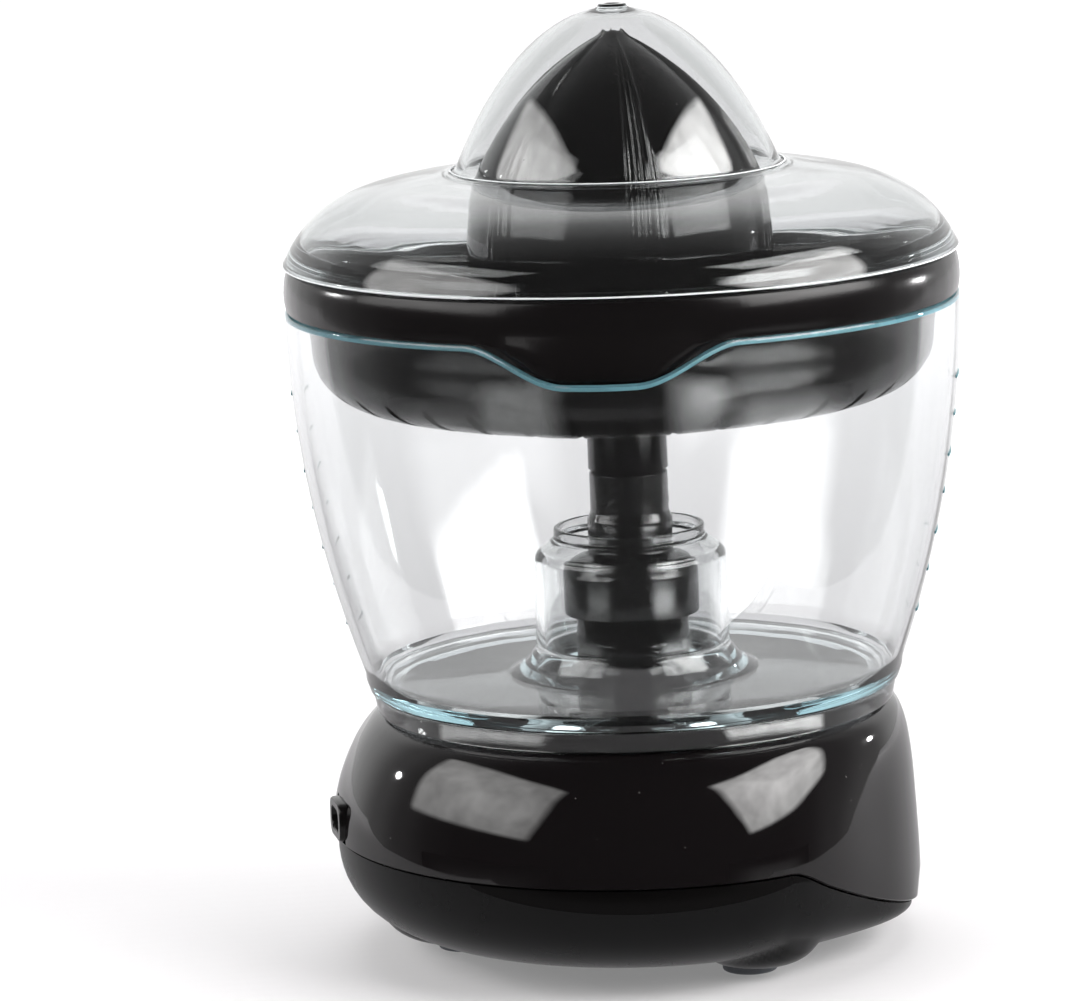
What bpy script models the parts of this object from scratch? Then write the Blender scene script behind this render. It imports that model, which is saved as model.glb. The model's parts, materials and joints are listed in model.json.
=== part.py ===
"""Electric citrus press: motor base, juice jug, strainer, two-size reamer and dust cover.

Millimetres in the tables below, metres in Blender. The origin is on the spindle's axis at the level
of the table top. +Z is up, the front of the base faces -Y and the mains lead leaves at the back.
Azimuths are degrees round the axis: 0 is the front, -90 is -X, 90 is +X and 180 is the back.
"""
import math

import bmesh
import bpy

MM = 0.001
GAP = 0.3

# --- driving dimensions -----------------------------------------------------------------------
OUTER_R = 74.0
COVER_RIM_Z = 153.6
COVER_WALL = 1.8
DOME_APEX_Z = 207.6
DOME_FOOT_R = 34.6
DOME_FOOT_Z = 175.4
FLANGE_Z = 172.9

STRAINER_TOP_Z = COVER_RIM_Z - GAP
STRAINER_FLOOR_Z = 122.0
STRAINER_WALL = 1.6
SLOT_COUNT = 36

JUG_RIM_Z = 143.8
JUG_FLOOR_Z = 59.0
JUG_FLOOR_TOP_Z = 61.5
JUG_WALL = 2.0
JUG_BOW = 0.00213
JUG_BOW_TOP_Z = 145.0
COLUMN_R = 21.3
COLUMN_RING_R = 16.6
COLUMN_RING_BORE = 15.5
COLUMN_TOP_Z = 93.5
SPOUT_AZIMUTH = -102.0
SPOUT_HALF_ANGLE = 23.0
SPOUT_DIP = 7.6
SPOUT_REACH = 4.4
SPOUT_FOOT_Z = 92.0

BASE_R = 67.9
BASE_WALL = 2.2
BASE_TOP_Z = 53.9
BOSS_R = 54.9
DECK_Z = JUG_FLOOR_Z - GAP
TOWER_R = 12.4
TOWER_BORE = 8.4
TOWER_TOP_Z = 82.6
SEAM_Z = 27.0
CHIN_SEAM_Z = 7.6
CHIN_HALF_ANGLE = 69.0
LOWER_FLOOR_Z = 4.0
LOWER_FLOOR_R = 34.0
BOWL_POWER = 0.8
LEG_AZIMUTHS = (-63.0, 63.0, 180.0)
LEG_RING_R = 40.0
PAD_R = 6.0
PAD_H = 1.6
OUTLET_AZIMUTH = -176.0
OUTLET_Z = 32.0
OUTLET_W = 13.0
OUTLET_H = 8.6

CONE_APEX_Z = 202.0
CONE_H = 44.0
CONE_R = 33.4
CONE_POWER = 0.81
SMALL_POWER = 0.66
CONE_FOOT_Z = 126.0
CONE_RIBS = 6
RIB_H = 1.1
STEM_R = 8.8
STEM_FOOT_Z = 105.9
HEX_R = 5.2
RIB_PHASE = -89.0
SMALL_FOOT_R = 23.0
SMALL_TALL = 46.0
COLLAR_BORE = 11.6
COLLAR_LEDGE_Z = 124.2
COLLAR_TOP_Z = 133.2

SPINDLE_R = 4.0
SPINDLE_FOOT_Z = 34.0
PRESS = 2.0
HUB_R = 15.0
HUB_TOP_Z = STEM_FOOT_Z - GAP
HEX_TURN = 7.0

FINAL_MODULE = 1.2
MIDDLE_MODULE = 0.96
FIRST_MODULE = 0.72
WHEEL_TEETH = 30
FIRST_TEETH = 35
PINION_TEETH = 10
MOTOR_XY = (-10.0, -30.0)
FIRST_GEAR_TURN = 105.0
PIN_R = 1.5
ROTOR_R = 9.2
MOTOR_SHAFT_R = 1.6
STACK_Z = (12.0, 24.0)
MOTOR_BOLTS = ((-21.5, -43.5), (1.5, -16.5))
PLATE_Z = (28.0, 30.5)
PLATE_POSTS = ((27.0, -12.0), (20.0, 20.0), (-14.0, 24.0))
LEVER_PIVOT_Y = 12.5
LEVER_PIVOT_Z = 15.4
BUTTON_Y = 4.0

# --- outlines (radius, height), each only as long as its curve needs ---------------------------
COVER_DECK = ((38.6, FLANGE_Z), (57.5, 169.8), (65.4, 166.6), (69.9, 162.6), (72.6, 158.0))
BASE_OUTLINE = ((56.0, BASE_TOP_Z), (59.2, 51.6), (62.6, 47.0), (65.8, 40.0), (67.5, 33.5),
                (BASE_R, 28.0), (67.7, 24.0), (66.6, 19.0), (64.0, 14.0))
CHIN_OUTLINE = ((56.0, BASE_TOP_Z), (58.4, 51.6), (60.0, 47.0), (61.0, 40.0), (61.7, 30.0),
                (62.2, 20.0), (62.4, 11.0), (61.4, 8.6), (59.4, CHIN_SEAM_Z))


# --- small geometry helpers --------------------------------------------------------------------
def heading(azimuth):
    """Unit x, y of an azimuth."""
    turn = math.radians(azimuth)
    return math.sin(turn), -math.cos(turn)


def at_azimuth(azimuth, radius):
    x, y = heading(azimuth)
    return x * radius, y * radius


def steps(count, offset=0.0):
    """Evenly spaced azimuths round the circle."""
    return [offset + 360.0 * i / count for i in range(count)]


def smooth(value):
    """0 below 0, 1 above 1 and an S-curve between."""
    value = min(1.0, max(0.0, value))
    return value * value * (3.0 - 2.0 * value)


def along(outline, height):
    """Radius of an outline, listed from the top down, at a height."""
    for (r0, z0), (r1, z1) in zip(outline, outline[1:]):
        if z1 <= height <= z0:
            return r0 + (r1 - r0) * (z0 - height) / (z0 - z1)
    return outline[0][0] if height > outline[0][1] else outline[-1][0]


def angle_between(a, b):
    """Smallest difference of two azimuths."""
    return abs((a - b + 180.0) % 360.0 - 180.0)


# --- Blender helpers ---------------------------------------------------------------------------
def clear_scene():
    for item in list(bpy.data.objects):
        bpy.data.objects.remove(item, do_unlink=True)


def material(name, color, roughness, metallic=0.0, alpha=1.0):
    found = bpy.data.materials.get(name)
    if found:
        return found
    made = bpy.data.materials.new(name)
    made.use_nodes = True
    shader = made.node_tree.nodes["Principled BSDF"]
    shader.inputs["Base Color"].default_value = (*color, 1.0)
    shader.inputs["Roughness"].default_value = roughness
    shader.inputs["Metallic"].default_value = metallic
    shader.inputs["Alpha"].default_value = alpha
    made.diffuse_color = (*color, alpha)
    return made


def link(name, bm, look, at=(0.0, 0.0), smooth_angle=32.0, guide=False):
    """Make one object from a bmesh whose points are in millimetres about the place `at`."""
    bmesh.ops.scale(bm, vec=(MM, MM, MM), verts=bm.verts)
    bmesh.ops.recalc_face_normals(bm, faces=bm.faces)
    mesh = bpy.data.meshes.new(name)
    bm.to_mesh(mesh)
    bm.free()
    mesh.shade_smooth()
    mesh.set_sharp_from_angle(angle=math.radians(smooth_angle))
    item = bpy.data.objects.new(name, mesh)
    item.location = (at[0] * MM, at[1] * MM, 0.0)
    bpy.context.scene.collection.objects.link(item)
    if look:
        mesh.materials.append(look)
    if guide:
        item.hide_render = True
        item.display_type = "WIRE"
    return item


def loft(section, azimuths, bm=None, at=(0.0, 0.0)):
    """Closed ring of sections: section(azimuth) lists (radius, height) points.

    A section that starts and ends on the axis makes a solid with two poles, and any other section
    is joined end to start, which makes a ring round a bore.
    """
    bm = bm or bmesh.new()
    rows = [section(azimuth) for azimuth in azimuths]
    on_axis = rows[0][0][0] == 0.0
    poles = [bm.verts.new((*at, rows[0][k][1])) for k in (0, -1)] if on_axis else []
    inner = slice(1, -1) if on_axis else slice(None)
    rings = []
    for azimuth, row in zip(azimuths, rows):
        x, y = heading(azimuth)
        rings.append([bm.verts.new((at[0] + x * r, at[1] + y * r, z)) for r, z in row[inner]])
    count = len(rings[0])
    for a, b in zip(rings, rings[1:] + rings[:1]):
        for i in range(count - 1):
            bm.faces.new((a[i], a[i + 1], b[i + 1], b[i]))
        if on_axis:
            bm.faces.new((poles[0], a[0], b[0]))
            bm.faces.new((a[-1], poles[1], b[-1]))
        else:
            bm.faces.new((a[-1], a[0], b[0], b[-1]))
    return bm


def turned(name, outline, look, sides=32, at=(0.0, 0.0), **options):
    """Body turned from one outline."""
    return link(name, loft(lambda azimuth: list(outline), steps(sides)), look, at, **options)


def rod(radius, z0, z1):
    """Outline of a plain round bar."""
    return (0.0, z0), (radius, z0), (radius, z1), (0.0, z1)


def tube(outer, bore, z0, z1):
    """Outline of a plain bush."""
    return (outer, z0), (outer, z1), (bore, z1), (bore, z0)


def prism(outline, z0, z1):
    """Upright prism over a closed x, y outline."""
    bm = bmesh.new()
    face = bm.faces.new([bm.verts.new((x, y, z0)) for x, y in outline])
    lifted = bmesh.ops.extrude_face_region(bm, geom=[face])["geom"]
    verts = [v for v in lifted if isinstance(v, bmesh.types.BMVert)]
    bmesh.ops.translate(bm, vec=(0.0, 0.0, z1 - z0), verts=verts)
    return bm


def rounded_box(x0, x1, y0, y1, corner, count=4):
    """x, y outline of a rectangle with round corners."""
    centres = ((x1 - corner, y1 - corner, 0.0), (x0 + corner, y1 - corner, 90.0),
               (x0 + corner, y0 + corner, 180.0), (x1 - corner, y0 + corner, 270.0))
    points = []
    for cx, cy, start in centres:
        for i in range(count):
            turn = math.radians(start + 90.0 * i / (count - 1))
            points.append((cx + corner * math.cos(turn), cy + corner * math.sin(turn)))
    return points


def combine(target, tool, operation="DIFFERENCE"):
    """Boolean with a hidden wire tool."""
    tool.hide_render = True
    tool.display_type = "WIRE"
    step = target.modifiers.new(tool.name, "BOOLEAN")
    step.operation = operation
    step.solver = "EXACT"
    step.object = tool


def turned_tools(target, name, bodies, operation="DIFFERENCE", sides=12, offset=11.3):
    """Several turned tools, each (outline, place), in one Boolean.

    Their corners are turned off the body's own, so that no corner lies in a face of the other.
    """
    bm = bmesh.new()
    for outline, place in bodies:
        loft(lambda azimuth, points=outline: list(points), steps(sides, offset), bm, place)
    combine(target, link(name, bm, None, guide=True), operation)


def cut_rods(target, name, rods, z0, z1):
    """Round holes, each (radius, place), between two heights."""
    turned_tools(target, name, [(rod(radius, z0, z1), place) for radius, place in rods])


# --- looks -------------------------------------------------------------------------------------
def clear_plastic():
    return material("clear_plastic", (0.90, 0.95, 0.95), 0.04, alpha=0.30)


def gloss_black():
    return material("gloss_black", (0.012, 0.011, 0.011), 0.08)


def satin_black():
    return material("satin_black", (0.020, 0.019, 0.019), 0.32)


def steel():
    return material("steel", (0.62, 0.62, 0.63), 0.28, 1.0)


# --- dust cover --------------------------------------------------------------------------------
def dome_radius(height):
    """Outer radius of the cover's dome, a parabola that steepens to its foot."""
    drop = max(0.0, DOME_APEX_Z - height)
    reach = drop / (DOME_APEX_Z - DOME_FOOT_Z)
    return DOME_FOOT_R * math.sqrt(reach * (1.18 - 0.18 * reach))


def make_dust_cover():
    heights = [DOME_APEX_Z - (DOME_APEX_Z - DOME_FOOT_Z) * t * t
               for t in (0.18, 0.36, 0.56, 0.78, 1.0)]
    nub = [(0.0, DOME_APEX_Z + 0.6), (1.7, DOME_APEX_Z + 0.6), (2.1, DOME_APEX_Z - 0.1)]
    dome = [(dome_radius(z), z) for z in heights]
    outer = nub + dome + [(36.2, 173.6)] + list(COVER_DECK)
    outer += [(OUTER_R, COVER_RIM_Z + 1.2), (OUTER_R, COVER_RIM_Z)]
    lip = [(71.6, COVER_RIM_Z), (71.3, 150.8), (70.2, 150.8), (70.2, 156.0)]
    deck = [(r - 1.5, z - COVER_WALL) for r, z in reversed(COVER_DECK[:-1])]
    inner_dome = [(dome_radius(z) - COVER_WALL, z - 1.0) for z in reversed(heights[1:])]
    top = [(6.0, DOME_APEX_Z - 2.3), (0.0, DOME_APEX_Z - 1.9)]
    return turned("dust_cover", outer + lip + deck + inner_dome + top, clear_plastic(), 36)


# --- reamers -----------------------------------------------------------------------------------
def ogive(height, foot_r, apex_z, tall, power):
    """Radius of a pressing cone at a height; a power near 1 makes it more pointed."""
    drop = min(1.0, max(0.0, (apex_z - height) / tall))
    return foot_r * (1.0 - (1.0 - drop) ** 2) ** power


def rib(azimuth, phase):
    """Height share of the raised ribs at an azimuth: sharp crests, hollow flanks."""
    pitch = 360.0 / CONE_RIBS
    off = abs((azimuth - phase + pitch / 2) % pitch - pitch / 2)
    return max(0.0, 1.0 - off / 5.0)


def cone_azimuths(phase):
    """Azimuths close together at each rib and wide apart on the panels between."""
    pitch = 360.0 / CONE_RIBS
    return [phase + pitch * k + off for k in range(CONE_RIBS) for off in (-5.0, 0.0, 5.0, 21.0, 39.0)]


def make_large_reamer():
    heights = [CONE_APEX_Z - CONE_H * t for t in (0.03, 0.1, 0.2, 0.34, 0.55, 1.0)]

    def section(azimuth):
        crest = rib(azimuth, RIB_PHASE)
        rows = [(1.9, CONE_APEX_Z - 0.6)]
        for z in heights:
            share = min(1.0, (CONE_APEX_Z - z) / 12.0)
            rows.append((ogive(z, CONE_R, CONE_APEX_Z, CONE_H, CONE_POWER) + RIB_H * crest * share, z))
        rows += [(CONE_R + 0.5 + RIB_H * crest, CONE_FOOT_Z + 4.0), (34.6, CONE_FOOT_Z + 1.5)]
        rows += [(34.6, CONE_FOOT_Z), (31.6, CONE_FOOT_Z), (31.1, 151.0)]
        for z in (170.0, 187.0, 196.0):
            rows.append((ogive(z, CONE_R, CONE_APEX_Z, CONE_H, CONE_POWER) - 2.1, z - 0.4))
        rows.append((1.9, CONE_APEX_Z - 2.4))
        return rows

    return link("large_reamer", loft(section, cone_azimuths(RIB_PHASE)), gloss_black())


def make_small_reamer():
    """Small cone, with the stem that runs down to the drive and its six-sided socket."""
    top = CONE_APEX_Z - 5.4

    def section(azimuth):
        crest = rib(azimuth, RIB_PHASE)
        rows = [(0.0, CONE_APEX_Z - 0.2), (1.0, CONE_APEX_Z - 0.5), (1.5, CONE_APEX_Z - 4.0)]
        for t in (0.08, 0.22, 0.45, 1.0):
            z = top - SMALL_TALL * t
            radius = ogive(z, SMALL_FOOT_R, top, SMALL_TALL, SMALL_POWER)
            rows.append((radius + 0.8 * crest * smooth(t * 4), z))
        rows += [(SMALL_FOOT_R + 0.4, 131.0), (SMALL_FOOT_R + 0.4, 129.6), (21.0, 129.6)]
        rows += [(20.2, 150.0), (15.5, 166.0), (11.0, 166.0), (STEM_R, 160.0)]
        rows += [(STEM_R, STEM_FOOT_Z), (0.0, STEM_FOOT_Z)]
        return rows

    item = link("small_reamer", loft(section, cone_azimuths(RIB_PHASE)), gloss_black())
    socket = rod(HEX_R + 0.4, STEM_FOOT_Z - 2.0, 126.0)
    turned_tools(item, "hex_socket", [(socket, (0.0, 0.0))], "DIFFERENCE", 6, HEX_TURN)
    return item


def make_reamer_bush():
    """Bearing sleeve between the strainer's collar and the stem; it rides down with the press."""
    foot = COLLAR_LEDGE_Z + PRESS + 0.4
    shoulder = COLLAR_TOP_Z + PRESS + 0.4
    outline = ((COLLAR_BORE - GAP, foot), (COLLAR_BORE - GAP, shoulder), (13.2, shoulder),
               (13.2, shoulder + 1.4), (STEM_R + GAP, shoulder + 1.4), (STEM_R + GAP, foot))
    return turned("reamer_bush", outline, material("bush_plastic", (0.55, 0.55, 0.53), 0.4), 32)


# --- strainer ----------------------------------------------------------------------------------
def spout_share(azimuth):
    """1 on the spout's centre line, 0 outside its width."""
    off = angle_between(azimuth, SPOUT_AZIMUTH) / SPOUT_HALF_ANGLE
    return smooth(1.32 * (1.0 - off))


def ring_azimuths(coarse=12.0, fine=6.0):
    """Azimuths round the jug and strainer, closer together across the spout."""
    start = SPOUT_AZIMUTH - 30.0
    tight = [start + fine * i for i in range(int(60 / fine))]
    return tight + [start + 60.0 + coarse * i for i in range(int(300 / coarse))]


def make_strainer():
    floor = STRAINER_FLOOR_Z
    corner = ((68.5, 137.5), (67.9, 132.5), (65.6, 128.0), (61.4, 124.4), (55.4, floor + 0.2))

    def section(azimuth):
        share = spout_share(azimuth)
        step_r = 71.2 + (OUTER_R + 1.6 - 71.2) * share
        step_z = JUG_RIM_Z + GAP - SPOUT_DIP * share
        rows = [(OUTER_R, STRAINER_TOP_Z), (OUTER_R, JUG_RIM_Z + 1.4)]
        rows += [(OUTER_R + 2.3 * share, JUG_RIM_Z + GAP - 1.6 * share), (step_r, step_z)]
        rows += [(68.7, 140.6 - SPOUT_DIP * 0.62 * share)]
        rows += [(r, z - 0.4 * share) for r, z in corner]
        rows += [(50.0, floor), (COLLAR_BORE + 4.8, floor), (COLLAR_BORE + 3.6, floor - 1.8)]
        rows += [(COLLAR_BORE - 1.2, floor - 1.8), (COLLAR_BORE - 1.2, COLLAR_LEDGE_Z)]
        rows += [(COLLAR_BORE, COLLAR_LEDGE_Z), (COLLAR_BORE, COLLAR_TOP_Z)]
        rows += [(COLLAR_BORE + 1.7, COLLAR_TOP_Z), (COLLAR_BORE + 1.9, 125.0)]
        rows += [(16.5, floor + STRAINER_WALL), (50.0, floor + STRAINER_WALL)]
        rows += [(r - 1.3, z + 1.2) for r, z in reversed(corner[1:])]
        rows += [(67.0, 141.0), (69.4, 143.8), (72.6, 146.4), (72.6, STRAINER_TOP_Z)]
        return rows

    item = link("strainer_basket", loft(section, ring_azimuths()), satin_black())
    cutter = bmesh.new()
    for azimuth in steps(SLOT_COUNT, 2.0):
        x, y = heading(azimuth)
        across = (-y * 1.1, x * 1.1)
        near = (x * 52.6, y * 52.6, floor - 2.5)
        far = (x * 67.4, y * 67.4, floor + 6.0)
        corners = []
        for px, py, pz in (near, far):
            for side in (-1, 1):
                for lift in (-2.6, 2.6):
                    slant = across[0] * side - x * lift * 0.55, across[1] * side - y * lift * 0.55
                    corners.append(cutter.verts.new((px + slant[0], py + slant[1], pz + lift)))
        a, b, c, d, e, f, g, h = corners
        for face in ((a, b, d, c), (e, g, h, f), (a, e, f, b), (c, d, h, g), (a, c, g, e),
                     (b, f, h, d)):
            cutter.faces.new(face)
    combine(item, link("strainer_slots", cutter, None, guide=True))
    return item


# --- jug ---------------------------------------------------------------------------------------
def jug_radius(height):
    """Outer radius of the jug's wall, which bows in towards the floor."""
    return 73.9 - JUG_BOW * (JUG_BOW_TOP_Z - height) ** 2


def make_jug():
    walls = (66.0, 78.0, SPOUT_FOOT_Z, 106.0, 122.0)

    def spout_bulge(azimuth, height):
        """How far the pouring spout stands out of the wall."""
        rise = (height - SPOUT_FOOT_Z) / (JUG_RIM_Z - SPOUT_DIP - SPOUT_FOOT_Z)
        if rise <= 0.0:
            return 0.0
        width = SPOUT_HALF_ANGLE * (0.25 + 0.75 * min(rise, 1.0))
        ridge = max(0.0, 1.0 - angle_between(azimuth, SPOUT_AZIMUTH) / width)
        return SPOUT_REACH * min(rise, 1.0) * ridge

    def section(azimuth):
        share = spout_share(azimuth)
        rim = JUG_RIM_Z - SPOUT_DIP * share
        scale = (rim - SPOUT_FOOT_Z) / (JUG_RIM_Z - SPOUT_FOOT_Z)
        levels = [z if z <= SPOUT_FOOT_Z else SPOUT_FOOT_Z + (z - SPOUT_FOOT_Z) * scale for z in walls]
        outer = [(57.1, 54.2), (58.7, JUG_FLOOR_Z), (59.4, JUG_FLOOR_TOP_Z - 0.6)]
        outer += [(jug_radius(z) + spout_bulge(azimuth, z), z) for z in levels + [rim]]
        inner = [(r - JUG_WALL, z) for r, z in reversed(outer[3:])]
        floor = [(57.0, JUG_FLOOR_TOP_Z + 0.8), (55.6, JUG_FLOOR_TOP_Z), (24.8, JUG_FLOOR_TOP_Z)]
        column = [(22.2, 64.6), (COLUMN_R, 67.5), (COLUMN_R, 87.2), (19.8, 89.9), (COLUMN_RING_R, 91.2)]
        column += [(COLUMN_RING_R, COLUMN_TOP_Z), (COLUMN_RING_BORE, COLUMN_TOP_Z)]
        column += [(COLUMN_RING_BORE, 90.4), (18.4, 88.9), (19.7, 86.6), (19.7, 67.0), (20.8, 63.2)]
        under = [(22.6, JUG_FLOOR_Z), (55.5, JUG_FLOOR_Z), (55.5, 54.2)]
        return outer + inner + floor + column + under

    return link("jug", loft(section, ring_azimuths()), clear_plastic())


# --- base housings -----------------------------------------------------------------------------
def seam_height(azimuth):
    """The joint between the two housings sweeps down under the front panel."""
    off = angle_between(azimuth, 0.0) / CHIN_HALF_ANGLE
    return min(SEAM_Z, CHIN_SEAM_Z + (SEAM_Z - CHIN_SEAM_Z) * off * off)


def housing_radius(azimuth, height):
    """Round bowl that blends into the upright front panel."""
    front = smooth((78.0 - angle_between(azimuth, 0.0)) / 40.0)
    return along(BASE_OUTLINE, height) * (1.0 - front) + along(CHIN_OUTLINE, height) * front


def housing_azimuths():
    return steps(40)


def make_upper_housing():
    def section(azimuth):
        seam = seam_height(azimuth)
        rise = BASE_TOP_Z - 2.0 - seam
        outer = [(housing_radius(azimuth, z) - cut, z)
                 for z, cut in [(seam, 1.0), (seam + 1.1, 0.1)]]
        levels = [seam + 1.1 + (rise - 1.1) * t for t in (0.25, 0.5, 0.7, 0.86, 1.0)]
        outer += [(housing_radius(azimuth, z), z) for z in levels]
        outer += [(56.6, BASE_TOP_Z), (BOSS_R, BASE_TOP_Z), (BOSS_R, DECK_Z - 0.8), (54.0, DECK_Z)]
        outer += [(16.0, DECK_Z), (14.0, DECK_Z + 1.4), (TOWER_R, DECK_Z + 4.0)]
        outer += [(TOWER_R, TOWER_TOP_Z - 0.6), (TOWER_R - 0.8, TOWER_TOP_Z)]
        bore = [(TOWER_BORE, TOWER_TOP_Z), (TOWER_BORE, DECK_Z - BASE_WALL)]
        under = [(52.6, DECK_Z - BASE_WALL), (52.6, 52.6)]
        inner = [(housing_radius(azimuth, z) - BASE_WALL, z) for z in reversed(levels[:-1])]
        lowest = [(housing_radius(azimuth, seam + 1.1) - BASE_WALL, seam)]
        return outer + bore + under + inner + lowest

    item = link("upper_housing", loft(section, housing_azimuths()), gloss_black(), smooth_angle=28.0)
    ceiling = DECK_Z - BASE_WALL + 0.8
    posts = [(at_azimuth(azimuth, LEG_RING_R), 4.2, 12.8, 1.9, 26.0) for azimuth in LEG_AZIMUTHS]
    posts += [(place, 3.6, PLATE_Z[1] + GAP, 1.7, 42.0) for place in PLATE_POSTS]
    posts.append((SECOND_XY, 3.6, 52.4, PIN_R + GAP, 55.4))
    bars = [(rod(radius, foot, ceiling), place) for place, radius, foot, _, _ in posts]
    bores = [(rod(bore, foot - 1.0, top), place) for place, _, foot, bore, top in posts]
    turned_tools(item, "posts", bars, "UNION", offset=4.1)
    turned_tools(item, "post_bores", bores)
    combine(item, outlet_block("outlet_opening", OUTLET_W + 2 * GAP, OUTLET_H + 2 * GAP, 58.0, 72.0))
    return item


def outlet_block(name, width, height, near, far, look=None):
    """Rounded block lying along the lead's way out."""
    bm = bmesh.new()
    x, y = heading(OUTLET_AZIMUTH)
    corner = min(2.6, height / 2 - 0.4)
    outline = rounded_box(-width / 2, width / 2, -height / 2, height / 2, corner)
    face = bm.faces.new([bm.verts.new((x * near - y * u, y * near + x * u, OUTLET_Z + v))
                         for u, v in outline])
    lifted = bmesh.ops.extrude_face_region(bm, geom=[face])["geom"]
    verts = [v for v in lifted if isinstance(v, bmesh.types.BMVert)]
    bmesh.ops.translate(bm, vec=(x * (far - near), y * (far - near), 0.0), verts=verts)
    return link(name, bm, look, guide=look is None)


def make_outlet_bezel():
    """Rectangular grommet frame where the mains lead leaves."""
    item = outlet_block("cord_outlet_bezel", OUTLET_W, OUTLET_H, 61.5, 68.5, satin_black())
    combine(item, outlet_block("outlet_bore", OUTLET_W - 4.4, OUTLET_H - 4.4 + 0.6, 58.0, 72.0))
    return item


def make_lower_housing():
    def bowl(azimuth, turn, wall=0.0):
        """Point of the quarter-oval bowl under the seam; turn 0 is the seam and 90 the floor."""
        seam = seam_height(azimuth) - GAP
        edge = housing_radius(azimuth, seam) - 0.9
        reach = math.radians(turn)
        inward = abs(math.cos(reach)) ** BOWL_POWER
        radius = LOWER_FLOOR_R + (edge - LOWER_FLOOR_R) * inward
        height = seam - (seam - LOWER_FLOOR_Z) * math.sin(reach) ** BOWL_POWER
        return radius - wall, height + wall * 0.9 * math.sin(reach)

    def section(azimuth):
        turns = (0.0, 9.0, 22.0, 40.0, 58.0, 75.0, 90.0)
        outer = [bowl(azimuth, turn) for turn in turns]
        inner = [bowl(azimuth, turn, BASE_WALL) for turn in turns]
        return [(0.0, LOWER_FLOOR_Z + BASE_WALL)] + inner[::-1] + outer + [(0.0, LOWER_FLOOR_Z)]

    item = link("lower_housing", loft(section, housing_azimuths()), satin_black(), smooth_angle=28.0)
    leg = [(0.0, PAD_H + GAP), (6.6, PAD_H + GAP), (8.8, 3.2), (10.6, 5.4), (11.6, 7.6), (7.0, 12.4),
           (0.0, 12.4)]
    shoulder = [(0.0, 4.6), (7.0, 4.9), (10.0, 6.6), (11.4, 9.2), (0.0, 9.6)]
    bore = [(0.0, 1.0), (3.6, 1.0), (3.6, 8.0), (1.9, 8.0), (1.9, 14.0), (0.0, 14.0)]
    places = [at_azimuth(azimuth, LEG_RING_R) for azimuth in LEG_AZIMUTHS]
    turned_tools(item, "legs", [(leg, place) for place in places], "UNION", 16, 4.1)
    turned_tools(item, "shoulders", [(shoulder, at_azimuth(azimuth, LEG_RING_R + 7.5))
                                     for azimuth in LEG_AZIMUTHS], "UNION", 16, 6.3)
    turned_tools(item, "leg_bores", [(bore, place) for place in places])
    return item


def make_feet_and_screws():
    rubber = material("foot_rubber", (0.10, 0.105, 0.11), 0.55)
    for index, azimuth in enumerate(LEG_AZIMUTHS):
        place = at_azimuth(azimuth, LEG_RING_R)
        pad = ((0.0, 0.0), (PAD_R - 0.3, 0.0), (PAD_R, 0.4), (PAD_R, PAD_H), (0.0, PAD_H))
        turned(f"foot_pad_{index + 1}", pad, rubber, 16, place)
        screw = ((0.0, 4.9), (3.0, 4.9), (3.2, 5.6), (3.2, 7.6), (1.5, 7.6), (1.5, 24.0), (0.8, 25.4),
                 (0.0, 25.4))
        turned(f"housing_screw_{index + 1}", screw, steel(), 12, place)
    for index, place in enumerate(PLATE_POSTS):
        top = PLATE_Z[0] - GAP
        screw = ((0.0, top - 1.7), (2.5, top - 1.7), (2.7, top - 1.2), (2.7, top), (1.3, top),
                 (1.3, 40.6), (0.0, 41.6))
        turned(f"plate_screw_{index + 1}", screw, steel(), 12, place)


# --- drive train -------------------------------------------------------------------------------
def meeting_point(a, ra, b, rb, left):
    """One of the two points at distance ra from a and rb from b."""
    dx, dy = b[0] - a[0], b[1] - a[1]
    span = math.hypot(dx, dy)
    along_line = (ra * ra - rb * rb + span * span) / (2.0 * span)
    side = math.sqrt(ra * ra - along_line * along_line) * (1.0 if left else -1.0)
    return (a[0] + (dx * along_line - dy * side) / span, a[1] + (dy * along_line + dx * side) / span)


def pitch_radius(teeth, module):
    return teeth * module / 2.0


FINAL_SPAN = pitch_radius(WHEEL_TEETH + PINION_TEETH, FINAL_MODULE)
MIDDLE_SPAN = pitch_radius(WHEEL_TEETH + PINION_TEETH, MIDDLE_MODULE)
FIRST_SPAN = pitch_radius(FIRST_TEETH + PINION_TEETH, FIRST_MODULE)
FIRST_XY = (MOTOR_XY[0] + FIRST_SPAN * math.cos(math.radians(FIRST_GEAR_TURN)),
            MOTOR_XY[1] + FIRST_SPAN * math.sin(math.radians(FIRST_GEAR_TURN)))
SECOND_XY = meeting_point((0.0, 0.0), FINAL_SPAN, FIRST_XY, MIDDLE_SPAN, False)


def towards(a, b):
    """Angle in radians of the way from a to b."""
    return math.atan2(b[1] - a[1], b[0] - a[0])


def gear_outline(teeth, module, phase):
    """Straight-sided teeth with backlash; one tooth centre lies at the angle `phase`."""
    pitch = 2.0 * math.pi / teeth
    tip = pitch_radius(teeth, module) + 0.85 * module
    root = pitch_radius(teeth, module) - 1.15 * module
    points = []
    for i in range(teeth):
        for radius, share in ((root, -0.24), (tip, -0.10), (tip, 0.10), (root, 0.24)):
            turn = phase + pitch * (i + share)
            points.append((radius * math.cos(turn), radius * math.sin(turn)))
    return points


def gear(name, teeth, module, phase, z0, z1, bore, at, look):
    item = link(name, prism(gear_outline(teeth, module, phase), z0, z1), look, at, smooth_angle=15.0)
    if bore:
        cut_rods(item, f"{name}_bore", [(bore, at)], z0 - 8.0, z1 + 8.0)
    return item


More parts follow.
